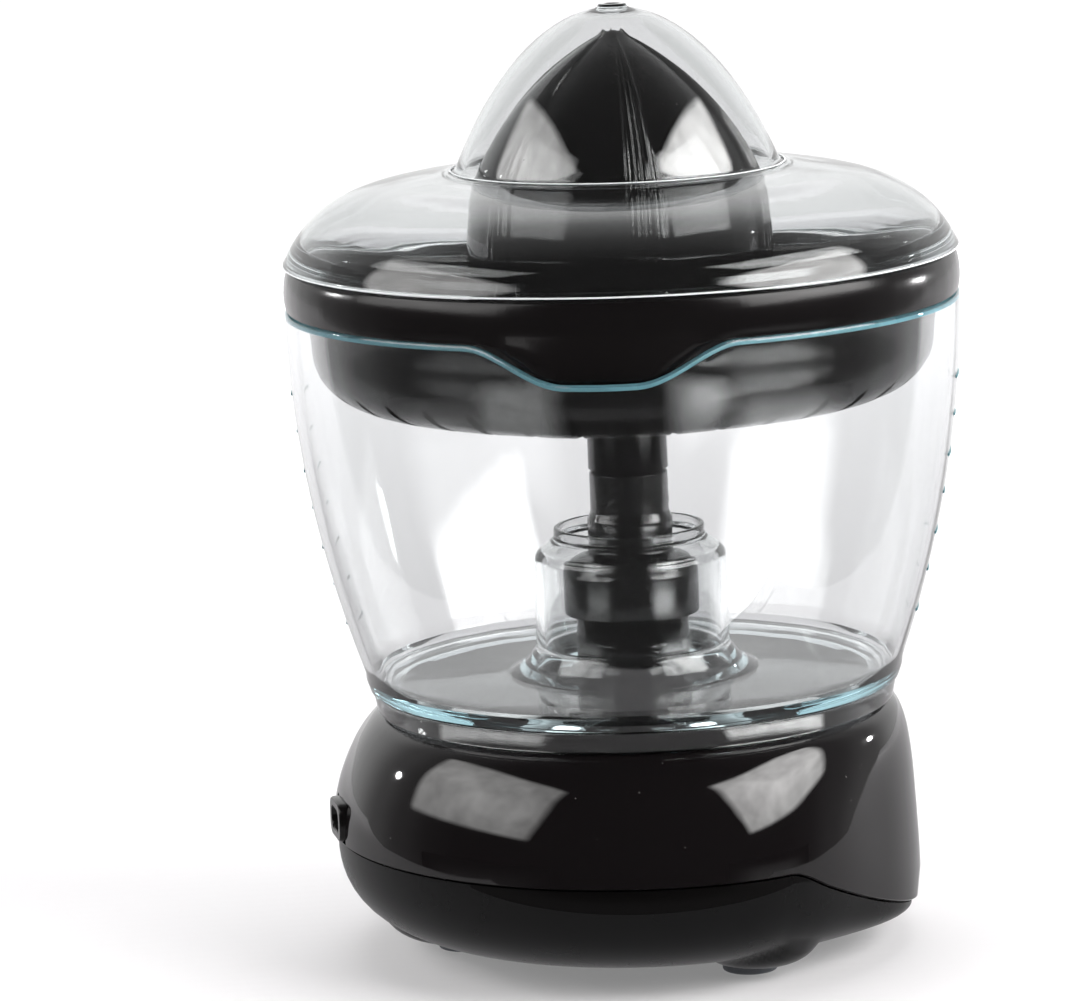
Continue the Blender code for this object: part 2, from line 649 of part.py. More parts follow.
def compound_gear(name, wheel, pinion, at, look):
    """Wheel and pinion moulded as one; each is (teeth, module, phase, z0, z1)."""
    item = gear(name, *wheel, None, at, look)
    hub = link(f"{name}_pinion", prism(gear_outline(*pinion[:3]), *pinion[3:]), None, at, guide=True)
    combine(item, hub, "UNION")
    cut_rods(item, f"{name}_bore", [(PIN_R + GAP, at)], wheel[3] - 4.0, pinion[4] + 4.0)
    return item


def make_gears():
    nylon = material("gear_nylon", (0.78, 0.76, 0.70), 0.45)
    half_tooth = math.pi / PINION_TEETH
    gear("output_gear", WHEEL_TEETH, FINAL_MODULE, towards((0, 0), SECOND_XY), 46.0, 51.0,
         SPINDLE_R + GAP, (0.0, 0.0), nylon)
    compound_gear("second_gear",
                  (WHEEL_TEETH, MIDDLE_MODULE, towards(SECOND_XY, FIRST_XY), 38.5, 42.5),
                  (PINION_TEETH, FINAL_MODULE, towards(SECOND_XY, (0, 0)) + half_tooth, 42.0, 51.6),
                  SECOND_XY, nylon)
    compound_gear("first_gear",
                  (FIRST_TEETH, FIRST_MODULE, towards(FIRST_XY, MOTOR_XY), 33.2, 37.2),
                  (PINION_TEETH, MIDDLE_MODULE, towards(FIRST_XY, SECOND_XY) + half_tooth, 36.8, 43.0),
                  FIRST_XY, nylon)
    gear("motor_pinion", PINION_TEETH, FIRST_MODULE, towards(MOTOR_XY, FIRST_XY) + half_tooth, 32.8, 38.0,
         MOTOR_SHAFT_R + GAP, MOTOR_XY, material("brass", (0.72, 0.55, 0.26), 0.3, 1.0))
    for name, place, top in (("first_gear_pin", FIRST_XY, 43.4), ("second_gear_pin", SECOND_XY, 55.0)):
        turned(name, rod(PIN_R, PLATE_Z[0] + 0.2, top), steel(), 12, place)


def make_gear_plate():
    """Pressed plate that holds the gear pins, the motor and the cup of the return spring."""
    look = material("zinc_plate", (0.55, 0.56, 0.57), 0.35, 1.0)
    outline = ((8.6, 17.8), (8.6, PLATE_Z[0]), (33.0, PLATE_Z[0]), (33.0, PLATE_Z[1]), (7.2, PLATE_Z[1]),
               (7.2, 19.3), (2.9, 19.3), (2.9, 17.8))
    item = turned("gear_plate", outline, look, 28)
    ear = prism(rounded_box(-26.0, 5.5, -47.5, -13.0, 3.0), *PLATE_Z)
    combine(item, link("plate_ear", ear, None, guide=True), "UNION")
    spacers = [(rod(3.4, 26.1, PLATE_Z[0] + 1.0), place) for place in MOTOR_BOLTS]
    turned_tools(item, "motor_spacers", spacers, "UNION", 10, 4.1)
    holes = [(1.8, place) for place in MOTOR_BOLTS] + [(1.6, place) for place in PLATE_POSTS]
    holes += [(PIN_R + GAP, FIRST_XY), (PIN_R + GAP, SECOND_XY), (3.2, MOTOR_XY)]
    cut_rods(item, "plate_holes", holes, 25.0, 32.0)
    return item


def make_spindle_group():
    turned("spindle", ((0.0, SPINDLE_FOOT_Z), (3.0, SPINDLE_FOOT_Z), (SPINDLE_R, 35.0),
                       (SPINDLE_R, 100.0), (0.0, 100.0)), steel(), 24)
    bore = SPINDLE_R + GAP
    hub = ((HUB_R, 74.2), (HUB_R, 83.6), (14.0, 85.9), (11.6, 87.2), (9.4, 87.6), (9.4, 95.2),
           (8.6, 96.6), (8.6, HUB_TOP_Z), (bore, HUB_TOP_Z), (bore, 85.4), (12.8, 85.4), (13.2, 74.2))
    item = turned("drive_hub", hub, gloss_black(), 28)
    turned_tools(item, "drive_hex", [(rod(HEX_R, 101.7, 124.6), (0.0, 0.0))], "UNION", 6, HEX_TURN)
    bronze = material("sintered_bronze", (0.55, 0.38, 0.22), 0.4, 1.0)
    for name, z0 in (("lower_spindle_bush", 57.5), ("upper_spindle_bush", 74.0)):
        turned(name, tube(TOWER_BORE - GAP, SPINDLE_R + GAP, z0, z0 + 8.0), bronze, 24)
    pad = ((0.0, 17.1), (1.8, 17.1), (1.8, 31.5), (6.3, 31.5), (6.3, 33.0), (5.0, 33.7), (0.0, 33.7))
    turned("thrust_pad", pad, material("thrust_plastic", (0.75, 0.74, 0.70), 0.4), 24)


def make_return_spring():
    """Compression spring in the plate's cup, drawn as a real coil."""
    wire, coil_r, z0, z1, turns, per_turn = 0.5, 5.6, 19.6, 31.2, 5, 10
    data = bpy.data.curves.new("return_spring", "CURVE")
    data.dimensions = "3D"
    data.bevel_depth = wire * MM
    data.bevel_resolution = 0
    data.use_fill_caps = True
    line = data.splines.new("POLY")
    count = turns * per_turn
    line.points.add(count)
    for i in range(count + 1):
        turn = 2.0 * math.pi * i / per_turn
        height = z0 + wire + (z1 - z0 - 2 * wire) * i / count
        line.points[i].co = (coil_r * MM * math.cos(turn), coil_r * MM * math.sin(turn), height * MM, 1.0)
    data.materials.append(steel())
    item = bpy.data.objects.new("return_spring", data)
    bpy.context.scene.collection.objects.link(item)
    return item


# --- motor -------------------------------------------------------------------------------------
def make_motor():
    iron = material("lamination_steel", (0.36, 0.37, 0.39), 0.42, 1.0)
    core = link("motor_core", prism(rounded_box(-25.0, 21.0, -47.0, -13.0, 2.0), *STACK_Z), iron,
                smooth_angle=20.0)
    window = prism(rounded_box(4.6, 12.4, -38.6, -21.4, 0.8, 2), STACK_Z[0] - 1.0, STACK_Z[1] + 1.0)
    combine(core, link("core_window", window, None, guide=True))
    turned_tools(core, "core_bore", [(rod(ROTOR_R + 0.6, 10.0, 26.0), MOTOR_XY)], sides=28)
    cut_rods(core, "core_bolt_holes", [(1.8, place) for place in MOTOR_BOLTS], 10.0, 26.0)

    coil = link("motor_coil", prism(rounded_box(5.0, 25.6, -38.0, -22.0, 3.0), 8.4, 27.4),
                material("coil_tape", (0.62, 0.47, 0.16), 0.5))
    limb = prism(rounded_box(12.1, 21.4, -40.0, -20.0, 0.5, 2), STACK_Z[0] - GAP, STACK_Z[1] + GAP)
    combine(coil, link("coil_core_way", limb, None, guide=True))

    turned("rotor", tube(ROTOR_R, MOTOR_SHAFT_R + GAP, 12.2, 23.8), iron, 32, MOTOR_XY)
    turned("motor_shaft", rod(MOTOR_SHAFT_R, 8.8, 38.4), steel(), 16, MOTOR_XY)
    zinc = material("bearing_zinc", (0.60, 0.60, 0.61), 0.38, 1.0)
    for name, z0 in (("lower_motor_bracket", 10.2), ("upper_motor_bracket", 24.3)):
        (ax, ay), (bx, by) = MOTOR_BOLTS
        half = math.hypot(bx - ax, by - ay) / 2.0
        ux, uy = (bx - ax) / (2.0 * half), (by - ay) / (2.0 * half)
        side = [(half + 3.2, 3.4), (7.5, 3.4), (4.5, 7.0), (-4.5, 7.0), (-7.5, 3.4), (-half - 3.2, 3.4)]
        strap = side + [(-u, -v) for u, v in side]
        plan = [(ux * u - uy * v, uy * u + ux * v) for u, v in strap]
        item = link(name, prism(plan, z0, z0 + 1.5), zinc, MOTOR_XY, smooth_angle=20.0)
        holes = [(MOTOR_SHAFT_R + GAP, MOTOR_XY)] + [(1.8, place) for place in MOTOR_BOLTS]
        cut_rods(item, f"{name}_holes", holes, z0 - 1.0, z0 + 3.0)
    for index, place in enumerate(MOTOR_BOLTS):
        bolt = ((0.0, 8.2), (2.8, 8.2), (2.8, 9.9), (1.5, 9.9), (1.5, 30.2), (0.0, 30.2))
        turned(f"motor_bolt_{index + 1}", bolt, steel(), 12, place)


# --- switch ------------------------------------------------------------------------------------
def make_switch():
    """Snap switch under the spindle, worked by the thrust pad through a hinged lever."""
    case = link("micro_switch", prism(rounded_box(-3.2, 3.2, -6.0, 15.0, 0.6, 2), 6.6, 13.4),
                material("switch_case", (0.035, 0.04, 0.045), 0.35), smooth_angle=20.0)
    pocket = prism(rounded_box(-1.6, 1.6, BUTTON_Y - 1.6, BUTTON_Y + 1.6, 0.4, 2), 9.4, 15.0)
    combine(case, link("button_pocket", pocket, None, guide=True))
    button = prism(rounded_box(-1.2, 1.2, -1.2, 1.2, 0.3, 2), 11.4, 15.9)
    link("switch_button", button, material("switch_red", (0.55, 0.05, 0.04), 0.35), (0.0, BUTTON_Y),
         smooth_angle=20.0)
    pivot = LEVER_PIVOT_Y
    ears = prism(rounded_box(-2.9, 2.9, pivot - 1.6, pivot + 1.6, 0.4, 2), 13.0, 16.8)
    combine(case, link("lever_ears", ears, None, guide=True), "UNION")
    gap = prism(rounded_box(-2.2, 2.2, pivot - 4.0, pivot + 4.0, 0.2, 2), 13.6, 18.0)
    combine(case, link("ear_gap", gap, None, guide=True))
    lever = bmesh.new()
    side = [(1.1, -1.0), (1.3, 1.4), (-15.6, 1.4), (-15.6, 0.8), (-1.0, 0.8), (-1.1, -1.0)]
    face = lever.faces.new([lever.verts.new((-1.9, y, z + LEVER_PIVOT_Z)) for y, z in side])
    lifted = bmesh.ops.extrude_face_region(lever, geom=[face])["geom"]
    verts = [v for v in lifted if isinstance(v, bmesh.types.BMVert)]
    bmesh.ops.translate(lever, vec=(3.8, 0.0, 0.0), verts=verts)
    link("switch_lever", lever, steel(), (0.0, pivot), smooth_angle=20.0)


def main():
    clear_scene()
    make_dust_cover()
    make_large_reamer()
    make_small_reamer()
    make_reamer_bush()
    make_strainer()
    make_jug()
    make_upper_housing()
    make_lower_housing()
    make_outlet_bezel()
    make_feet_and_screws()
    make_spindle_group()
    make_return_spring()
    make_gear_plate()
    make_gears()
    make_motor()
    make_switch()


main()
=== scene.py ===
"""Citrus press: fine meshes, materials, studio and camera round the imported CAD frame.

Lengths in the shape tables are millimetres and azimuths are degrees: 0 is the front of the base
(-Y), -90 is -X and 180 is the back.
"""
import json
import math

import bmesh
import bpy
from mathutils import Matrix, Vector


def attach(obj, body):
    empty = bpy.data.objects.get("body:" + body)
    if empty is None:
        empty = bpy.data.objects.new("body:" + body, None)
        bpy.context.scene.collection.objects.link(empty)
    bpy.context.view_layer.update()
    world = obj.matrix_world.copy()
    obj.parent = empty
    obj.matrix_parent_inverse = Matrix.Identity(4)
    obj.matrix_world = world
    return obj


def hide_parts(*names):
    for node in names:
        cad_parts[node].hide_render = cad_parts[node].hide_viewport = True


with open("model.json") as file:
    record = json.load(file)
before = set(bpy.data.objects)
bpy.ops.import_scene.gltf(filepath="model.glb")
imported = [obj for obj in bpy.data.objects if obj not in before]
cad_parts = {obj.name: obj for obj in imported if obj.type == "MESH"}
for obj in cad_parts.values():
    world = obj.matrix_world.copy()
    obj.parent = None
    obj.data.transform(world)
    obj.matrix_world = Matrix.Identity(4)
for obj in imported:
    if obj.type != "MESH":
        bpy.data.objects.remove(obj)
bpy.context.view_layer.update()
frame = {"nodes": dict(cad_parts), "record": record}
MM = 0.001

# --- shared dimensions, the same as the CAD model's ---------------------------------------------
OUTER_R = 74.0
COVER_RIM_Z = 153.6
DOME_WALL = 1.3
DOME_APEX_Z = 207.6
DOME_FOOT_R = 34.6
DOME_FOOT_Z = 175.4
STRAINER_TOP_Z = 153.3
STRAINER_FLOOR_Z = 122.0
COLLAR_BORE = 11.6
JUG_RIM_Z = 143.8
JUG_WALL = 2.0
JUG_FLOOR_TOP_Z = 61.5
SPOUT_AZIMUTH = -102.0
SPOUT_HALF_ANGLE = 23.0
SPOUT_DIP = 7.6
SPOUT_REACH = 4.0
SPOUT_FOOT_Z = 92.0
BASE_TOP_Z = 53.9
DECK_Z = 58.7
BASE_WALL = 2.2
SEAM_Z = 27.0
CHIN_SEAM_Z = 7.6
CHIN_HALF_ANGLE = 69.0
LOWER_FLOOR_Z = 4.0
LOWER_FLOOR_R = 34.0
BOWL_POWER = 0.8
LEG_AZIMUTHS = (-63.0, 63.0, 180.0)
LEG_RING_R = 40.0
OUTLET_AZIMUTH = -176.0
OUTLET_Z = 32.0
OUTLET_HALF_ANGLE = math.degrees(6.8 / 66.0)
OUTLET_HALF_HEIGHT = 4.4
TOWER_PLATE_Z = 57.3
LEG_FLAT_R = 6.4
LEG_FOOT_Z = 1.9
LEG_DOME_REACH = 5.6
LEG_DOME_TALL = 9.5
LEG_FAR_R = 19.0
CRESCENT_TURN = 9.0
CRESCENT_HALF_ANGLE = 34.0
PLATE_POSTS = ((27.0, -12.0), (20.0, 20.0), (-14.0, 24.0))
CONE_APEX_Z = 202.0
CONE_H = 44.0
CONE_R = 33.4
CONE_POWER = 0.81
SMALL_POWER = 0.66
CONE_FOOT_Z = 126.0
RIB_PHASE = -89.0
RIB_PITCH = 60.0
SMALL_APEX_Z = 196.6
SMALL_R = 23.0
SMALL_H = 46.0
STEM_R = 8.8
STEM_FOOT_Z = 105.9

CAMERA_AZIMUTH = -98.2
CAMERA_DISTANCE = 1145.2
CAMERA_HEIGHT = 300.4
CAMERA_YAW_PITCH_ROLL = (-0.977, 9.966, -2.098)
CAMERA_LENS = 175.6
KICKER_REACH = 600.0
KICKER_BOTTOM = -700.0
KICKER_FULL_Z = -60.0
GLOW_BOTTOM, GLOW_FULL_Z, GLOW_TOP = -260.0, -150.0, -40.0
SOFTBOX_BORDER = 0.86
SKY_LEVELS = ((0.0, 1.0), (0.12, 0.95), (0.27, 0.42), (0.40, 0.20), (0.56, 0.05), (0.66, 0.012))


# --- outlines ----------------------------------------------------------------------------------
def heading(azimuth):
    """Unit x and y of an azimuth."""
    turn = math.radians(azimuth)
    return math.sin(turn), -math.cos(turn)


def at_azimuth(azimuth, radius):
    x, y = heading(azimuth)
    return x * radius, y * radius


def smooth(value):
    value = min(1.0, max(0.0, value))
    return value * value * (3.0 - 2.0 * value)


def between(a, b, share):
    return a + (b - a) * share


def apart(a, b):
    """Smallest difference of two azimuths."""
    return abs((a - b + 180.0) % 360.0 - 180.0)


def spline(points, count=6):
    """Smooth curve through (radius, height) points, `count` steps between each pair."""
    ends = [points[0]] + list(points) + [points[-1]]
    out = []
    for p0, p1, p2, p3 in zip(ends, ends[1:], ends[2:], ends[3:]):
        for i in range(count):
            t = i / count
            out.append(tuple(0.5 * (2 * b + (c - a) * t + (2 * a - 5 * b + 4 * c - d) * t * t
                                    + (3 * b - a - 3 * c + d) * t ** 3)
                             for a, b, c, d in zip(p0, p1, p2, p3)))
    return out + [tuple(points[-1])]


def along(outline, height):
    """Radius of an outline, listed from the top down, at a height."""
    for (r0, z0), (r1, z1) in zip(outline, outline[1:]):
        if z1 <= height <= z0:
            return between(r0, r1, (z0 - height) / (z0 - z1))
    return outline[0][0] if height > outline[0][1] else outline[-1][0]


def rounded(corners, closed=True, count=5):
    """Outline with round corners. A corner is (r, z) or (r, z, rounding radius)."""
    out = []
    total = len(corners)
    for i, corner in enumerate(corners):
        here = Vector(corner[:2])
        radius = corner[2] if len(corner) > 2 else 0.0
        if radius <= 0.0 or (not closed and i in (0, total - 1)):
            out.append(tuple(here))
            continue
        before = Vector(corners[i - 1][:2]) - here
        after = Vector(corners[(i + 1) % total][:2]) - here
        half = before.angle(after) / 2.0
        reach = min(radius / math.tan(half), before.length * 0.49, after.length * 0.49)
        radius = reach * math.tan(half)
        middle = (before.normalized() + after.normalized()).normalized()
        centre = here + middle * (radius / math.sin(half))
        start = here + before.normalized() * reach - centre
        end = here + after.normalized() * reach - centre
        sweep = math.pi - 2.0 * half
        turn = math.copysign(sweep, start.x * end.y - start.y * end.x)
        for k in range(count):
            a = turn * k / (count - 1)
            out.append((centre.x + start.x * math.cos(a) - start.y * math.sin(a),
                        centre.y + start.x * math.sin(a) + start.y * math.cos(a)))
    return out


# --- meshes ------------------------------------------------------------------------------------
def finish_mesh(name, bm, look, body, nodes=(), sharp=34.0):
    """Object from a bmesh in millimetres, riding on a body and standing for CAD nodes."""
    bmesh.ops.remove_doubles(bm, verts=bm.verts, dist=1e-5)
    bmesh.ops.scale(bm, vec=(MM, MM, MM), verts=bm.verts)
    bmesh.ops.recalc_face_normals(bm, faces=bm.faces)
    mesh = bpy.data.meshes.new(name)
    bm.to_mesh(mesh)
    bm.free()
    mesh.shade_smooth()
    mesh.set_sharp_from_angle(angle=math.radians(sharp))
    item = bpy.data.objects.new(name, mesh)
    bpy.context.scene.collection.objects.link(item)
    if look:
        mesh.materials.append(look)
    if body:
        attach(item, body)
    if nodes:
        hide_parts(*nodes)
    return item


def ring_mesh(section, azimuths, at=(0.0, 0.0), bm=None, holes=(), mate=None):
    """Mesh turned round a place from section(azimuth) = [(radius, height), ...].

    A section that starts and ends on the axis closes at two poles, any other closes on itself.
    `holes` are cells (i, j) cut through both skins; mate(j) is the inner point behind outer j.
    """
    bm = bm or bmesh.new()
    rows = [section(azimuth) for azimuth in azimuths]
    poles = rows[0][0][0] == 0.0 and rows[0][-1][0] == 0.0
    core = slice(1, -1) if poles else slice(None)
    grid = []
    for azimuth, row in zip(azimuths, rows):
        x, y = heading(azimuth)
        grid.append([bm.verts.new((at[0] + x * r, at[1] + y * r, z)) for r, z in row[core]])
    total, count = len(grid), len(grid[0])
    ends = [bm.verts.new((*at, rows[0][k][1])) for k in (0, -1)] if poles else []
    gone = set(holes) | {(i, mate(j + 1)) for i, j in holes}
    for i in range(total):
        a, b = grid[i], grid[(i + 1) % total]
        for j in range(count - 1 if poles else count):
            if (i, j) not in gone:
                bm.faces.new((a[j], a[(j + 1) % count], b[(j + 1) % count], b[j]))
        if poles:
            bm.faces.new((ends[0], a[0], b[0]))
            bm.faces.new((a[-1], ends[1], b[-1]))
    for i, j in holes:
        k = (i + 1) % total
        for (ia, ja), (ib, jb), beside in (((i, j), (i, j + 1), ((i - 1) % total, j)),
                                           ((k, j), (k, j + 1), (k, j)),
                                           ((i, j), (k, j), (i, j - 1)),
                                           ((i, j + 1), (k, j + 1), (i, j + 1))):
            if beside not in holes:
                bm.faces.new((grid[ia][ja], grid[ib][jb], grid[ib][mate(jb)], grid[ia][mate(ja)]))
    return bm


def steps(count, offset=0.0):
    return [offset + 360.0 * i / count for i in range(count)]


def turned(name, outline, look, body, nodes=(), sides=96, at=(0.0, 0.0), sharp=34.0):
    bm = ring_mesh(lambda azimuth: outline, steps(sides), at)
    return finish_mesh(name, bm, look, body, nodes, sharp)


def cut(item, bm, operation="DIFFERENCE"):
    """Boolean with a tool that is thrown away afterwards."""
    tool = finish_mesh("tool", bm, None, None)
    step = item.modifiers.new("tool", "BOOLEAN")
    step.operation = operation
    step.solver = "EXACT"
    step.object = tool
    bpy.context.view_layer.update()
    made = bpy.data.meshes.new_from_object(item.evaluated_get(bpy.context.evaluated_depsgraph_get()))
    item.modifiers.clear()
    old = item.data
    made.name = old.name
    item.data = made
    bpy.data.meshes.remove(old)
    bpy.data.objects.remove(tool, do_unlink=True)
    item.data.shade_smooth()
    item.data.set_sharp_from_angle(angle=math.radians(34.0))


# --- materials ---------------------------------------------------------------------------------
WAVES_PER_MM = 157.08


class Look:
    """A Principled material and short ways to add nodes to it."""

    def __init__(self, name, color, roughness, metallic=0.0, ior=1.5, **sockets):
        self.made = bpy.data.materials.new(name)
        self.made.use_nodes = True
        self.tree = self.made.node_tree
        self.shader = self.tree.nodes["Principled BSDF"]
        self.put(self.shader, "Base Color", (*color, 1.0))
        self.put(self.shader, "Roughness", roughness)
        self.put(self.shader, "Metallic", metallic)
        self.put(self.shader, "IOR", ior)
        for socket, value in sockets.items():
            self.put(self.shader, socket.replace("_", " "), value)
        self.place = self.node("ShaderNodeTexCoord").outputs["Object"]
        self.bumps = None

    def node(self, kind, **sockets):
        made = self.tree.nodes.new(kind)
        for socket, value in sockets.items():
            self.put(made, socket.replace("_", " "), value)
        return made

    def put(self, node, socket, value):
        if hasattr(value, "is_output"):
            self.tree.links.new(value, node.inputs[socket])
        else:
            node.inputs[socket].default_value = value

    def stretched(self, scale):
        made = self.node("ShaderNodeMapping", Vector=self.place)
        made.inputs["Scale"].default_value = scale
        return made.outputs["Vector"]

    def noise(self, size_mm, detail=3.0, stretch=None, roughness=0.55):
        where = self.stretched(stretch) if stretch else self.place
        made = self.node("ShaderNodeTexNoise", Vector=where, Scale=1000.0 / size_mm, Detail=detail,
                         Roughness=roughness)
        return made.outputs["Fac"]

    def specks(self, spacing_mm, share):
        """1 in small round dots, 0 elsewhere."""
        made = self.node("ShaderNodeTexVoronoi", Vector=self.place, Scale=1000.0 / spacing_mm)
        return self.ramp(made.outputs["Distance"], (share * 0.7, 1.0), (share, 0.0))

    def waves(self, size_mm, direction="Z", distortion=0.0):
        made = self.node("ShaderNodeTexWave", Vector=self.place, Scale=WAVES_PER_MM / size_mm,
                         Distortion=distortion)
        made.bands_direction = direction
        return made.outputs["Fac"]

    def ramp(self, value, low, high):
        """Maps value from low = (input, output) to high."""
        made = self.node("ShaderNodeMapRange", Value=value)
        for socket, number in (("From Min", low[0]), ("From Max", high[0]), ("To Min", low[1]),
                               ("To Max", high[1])):
            made.inputs[socket].default_value = number
        return made.outputs["Result"]

    def mixed(self, share, a, b):
        made = self.node("ShaderNodeMix")
        made.data_type = "RGBA"
        for socket, value in ((made.inputs[0], share), (made.inputs[6], a), (made.inputs[7], b)):
            if hasattr(value, "is_output"):
                self.tree.links.new(value, socket)
            else:
                socket.default_value = value if isinstance(value, float) else (*value, 1.0)
        return made.outputs[2]

    def rough(self, value, low, high):
        """Roughness that wanders between low and high."""
        self.put(self.shader, "Roughness", self.ramp(value, (0.3, low), (0.7, high)))
        return self

    def color(self, value, a, b):
        self.put(self.shader, "Base Color", self.mixed(value, a, b))
        return self

    def bump(self, value, height_mm, strength=1.0):
        made = self.node("ShaderNodeBump", Height=value, Strength=strength, Distance=height_mm * MM)
        if self.bumps:
            self.put(made, "Normal", self.bumps)
        self.bumps = made.outputs["Normal"]
        self.put(self.shader, "Normal", self.bumps)
        return self


def multiplied(look, values):
    """Output of a chain of multiply nodes."""
    out = values[0]
    for value in values[1:]:
        both = look.node("ShaderNodeMath")
        both.operation = "MULTIPLY"
        look.tree.links.new(out, both.inputs[0])
        look.tree.links.new(value, both.inputs[1])
        out = both.outputs["Value"]
    return out


def clear_look(name, color, density, ripple, depth, haze, shine):
    """Clear styrene with moulding ripple.

    Its volume gives the thick edges their tint, and `haze` is what its surfaces let through.
    """
    look = Look(name, (haze, haze, haze), 0.015, ior=1.53, Transmission_Weight=0.9965,
                Specular_IOR_Level=shine)
    look.bump(look.noise(22.0, 1.5, ripple), depth)
    soak = look.node("ShaderNodeVolumeAbsorption", Color=(*color, 1.0), Density=density)
    look.tree.links.new(soak.outputs["Volume"], look.tree.nodes["Material Output"].inputs["Volume"])
    return look.made


def gloss_look():
    """Polished black with a few specks of dust."""
    black = (0.0034, 0.0028, 0.003)
    look = Look("piano_black", black, 0.05, ior=1.5)
    look.bump(look.noise(38.0, 1.0), 0.05)
    dust = look.specks(4.5, 0.035)
    look.color(dust, black, (0.16, 0.155, 0.15))
    look.rough(look.noise(9.0, 4.0), 0.03, 0.065)
    return look.made


def satin_look(name, color, low, high, grain=0.5, depth=0.012, shine=0.5):
    look = Look(name, color, low, ior=1.48, Specular_IOR_Level=shine)
    look.rough(look.noise(14.0, 3.0), low, high)
    lighter = tuple(c * 1.35 for c in color)
    look.color(look.noise(3.0, 4.0), color, lighter)
    look.bump(look.noise(grain, 2.0), depth)
    return look.made


def metal_look(name, color, low, high, stretch=(1.0, 1.0, 14.0), size=0.9):
    look = Look(name, color, low, 1.0, ior=1.5)
    grain = look.noise(size, 3.0, stretch)
    look.rough(grain, low, high)
    look.color(grain, tuple(c * 0.86 for c in color), color)
    look.bump(grain, 0.006)
    return look.made


def laminated_look():
    look = Look("laminated_core", (0.30, 0.31, 0.33), 0.4, 0.9)
    sheets = look.waves(0.5)
    look.color(sheets, (0.16, 0.16, 0.17), (0.36, 0.37, 0.39)).bump(sheets, 0.06)
    look.rough(look.noise(2.0), 0.35, 0.5)
    return look.made


def tape_look():
    look = Look("winding_tape", (0.62, 0.47, 0.16), 0.42)
    look.color(look.noise(6.0, 4.0), (0.52, 0.37, 0.09), (0.70, 0.55, 0.22))
    look.bump(look.waves(3.2, "Y", 0.4), 0.10).rough(look.noise(2.0), 0.3, 0.5)
    return look.made


EVEN = (1.0, 1.0, 1.0)
LOOKS = {
    "clear_cover": clear_look("clear_cover", (0.30, 0.70, 0.79), 17.0, EVEN, 0.08, 0.89, 0.5),
    "clear_jug": clear_look("clear_jug", (0.27, 0.68, 0.77), 11.5, (1.0, 1.0, 0.12), 0.2, 0.95, 0.2),
    # Pale satin that paints highlights on the clear cover: the bright line along its lower edge and the
    # line at the dome's foot.
    "painted_glint_edge": satin_look("painted_glint_edge", (0.62, 0.64, 0.65), 0.4, 0.5),
    "rim_tint": satin_look("rim_tint", (0.16, 0.36, 0.42), 0.2, 0.3),
    "hub_black": satin_look("hub_black", (0.009, 0.0088, 0.0088), 0.14, 0.2, shine=1.0),
    "gloss_black": gloss_look(),
    "satin_black": satin_look("satin_black", (0.0036, 0.0031, 0.0032), 0.16, 0.2, shine=0.27),
    "lower_black": satin_look("lower_satin", (0.0028, 0.0028, 0.0029), 0.25, 0.285, 0.6, 0.008, 0.17),
    # Painted shade: darker, glossier black for the crescent just under the seam on the camera's side.
    "painted_seam_shade": satin_look("painted_seam_shade", (0.0022, 0.0020, 0.0020), 0.12, 0.16, shine=0.07),
    "steel": metal_look("turned_steel", (0.60, 0.60, 0.61), 0.2, 0.34),
    "foot_rubber": satin_look("foot_rubber", (0.10, 0.108, 0.12), 0.55, 0.7, 0.8, 0.05),
    "bush_plastic": satin_look("bush_acetal", (0.50, 0.50, 0.48), 0.35, 0.45),
    "gear_nylon": satin_look("gear_nylon", (0.70, 0.68, 0.62), 0.4, 0.5, 0.8, 0.02),
    "brass": metal_look("pinion_brass", (0.70, 0.53, 0.25), 0.22, 0.36),
    "zinc_plate": metal_look("zinc_plated", (0.55, 0.56, 0.56), 0.28, 0.42, EVEN, 2.6),
    "sintered_bronze": metal_look("sintered_bronze", (0.50, 0.34, 0.20), 0.36, 0.52, EVEN, 0.4),
    "thrust_plastic": satin_look("thrust_acetal", (0.72, 0.71, 0.67), 0.35, 0.45),
    "lamination_steel": laminated_look(),
    "coil_tape": tape_look(),
    "bearing_zinc": metal_look("bearing_zinc", (0.56, 0.56, 0.57), 0.34, 0.46, EVEN, 1.2),
    "switch_case": satin_look("switch_case", (0.030, 0.034, 0.038), 0.35, 0.45, 0.4, 0.02),
    "switch_red": satin_look("switch_red", (0.48, 0.04, 0.03), 0.3, 0.4),
    "mark": satin_look("level_mark", (0.05, 0.16, 0.18), 0.35, 0.45),
}


def dress_cad_nodes():
    """Every node that keeps its CAD mesh gets its finished material."""
    for entry in frame["record"]["subparts"]:
        look = LOOKS.get(entry["material_slot"])
        if look:
            item = frame["nodes"][entry["node"]]
            for index in range(len(item.material_slots)):
                item.material_slots[index].material = look


# --- dust cover --------------------------------------------------------------------------------
def dome_radius(height):
    reach = max(0.0, DOME_APEX_Z - height) / (DOME_APEX_Z - DOME_FOOT_Z)
    return DOME_FOOT_R * math.sqrt(reach * (1.18 - 0.18 * reach))


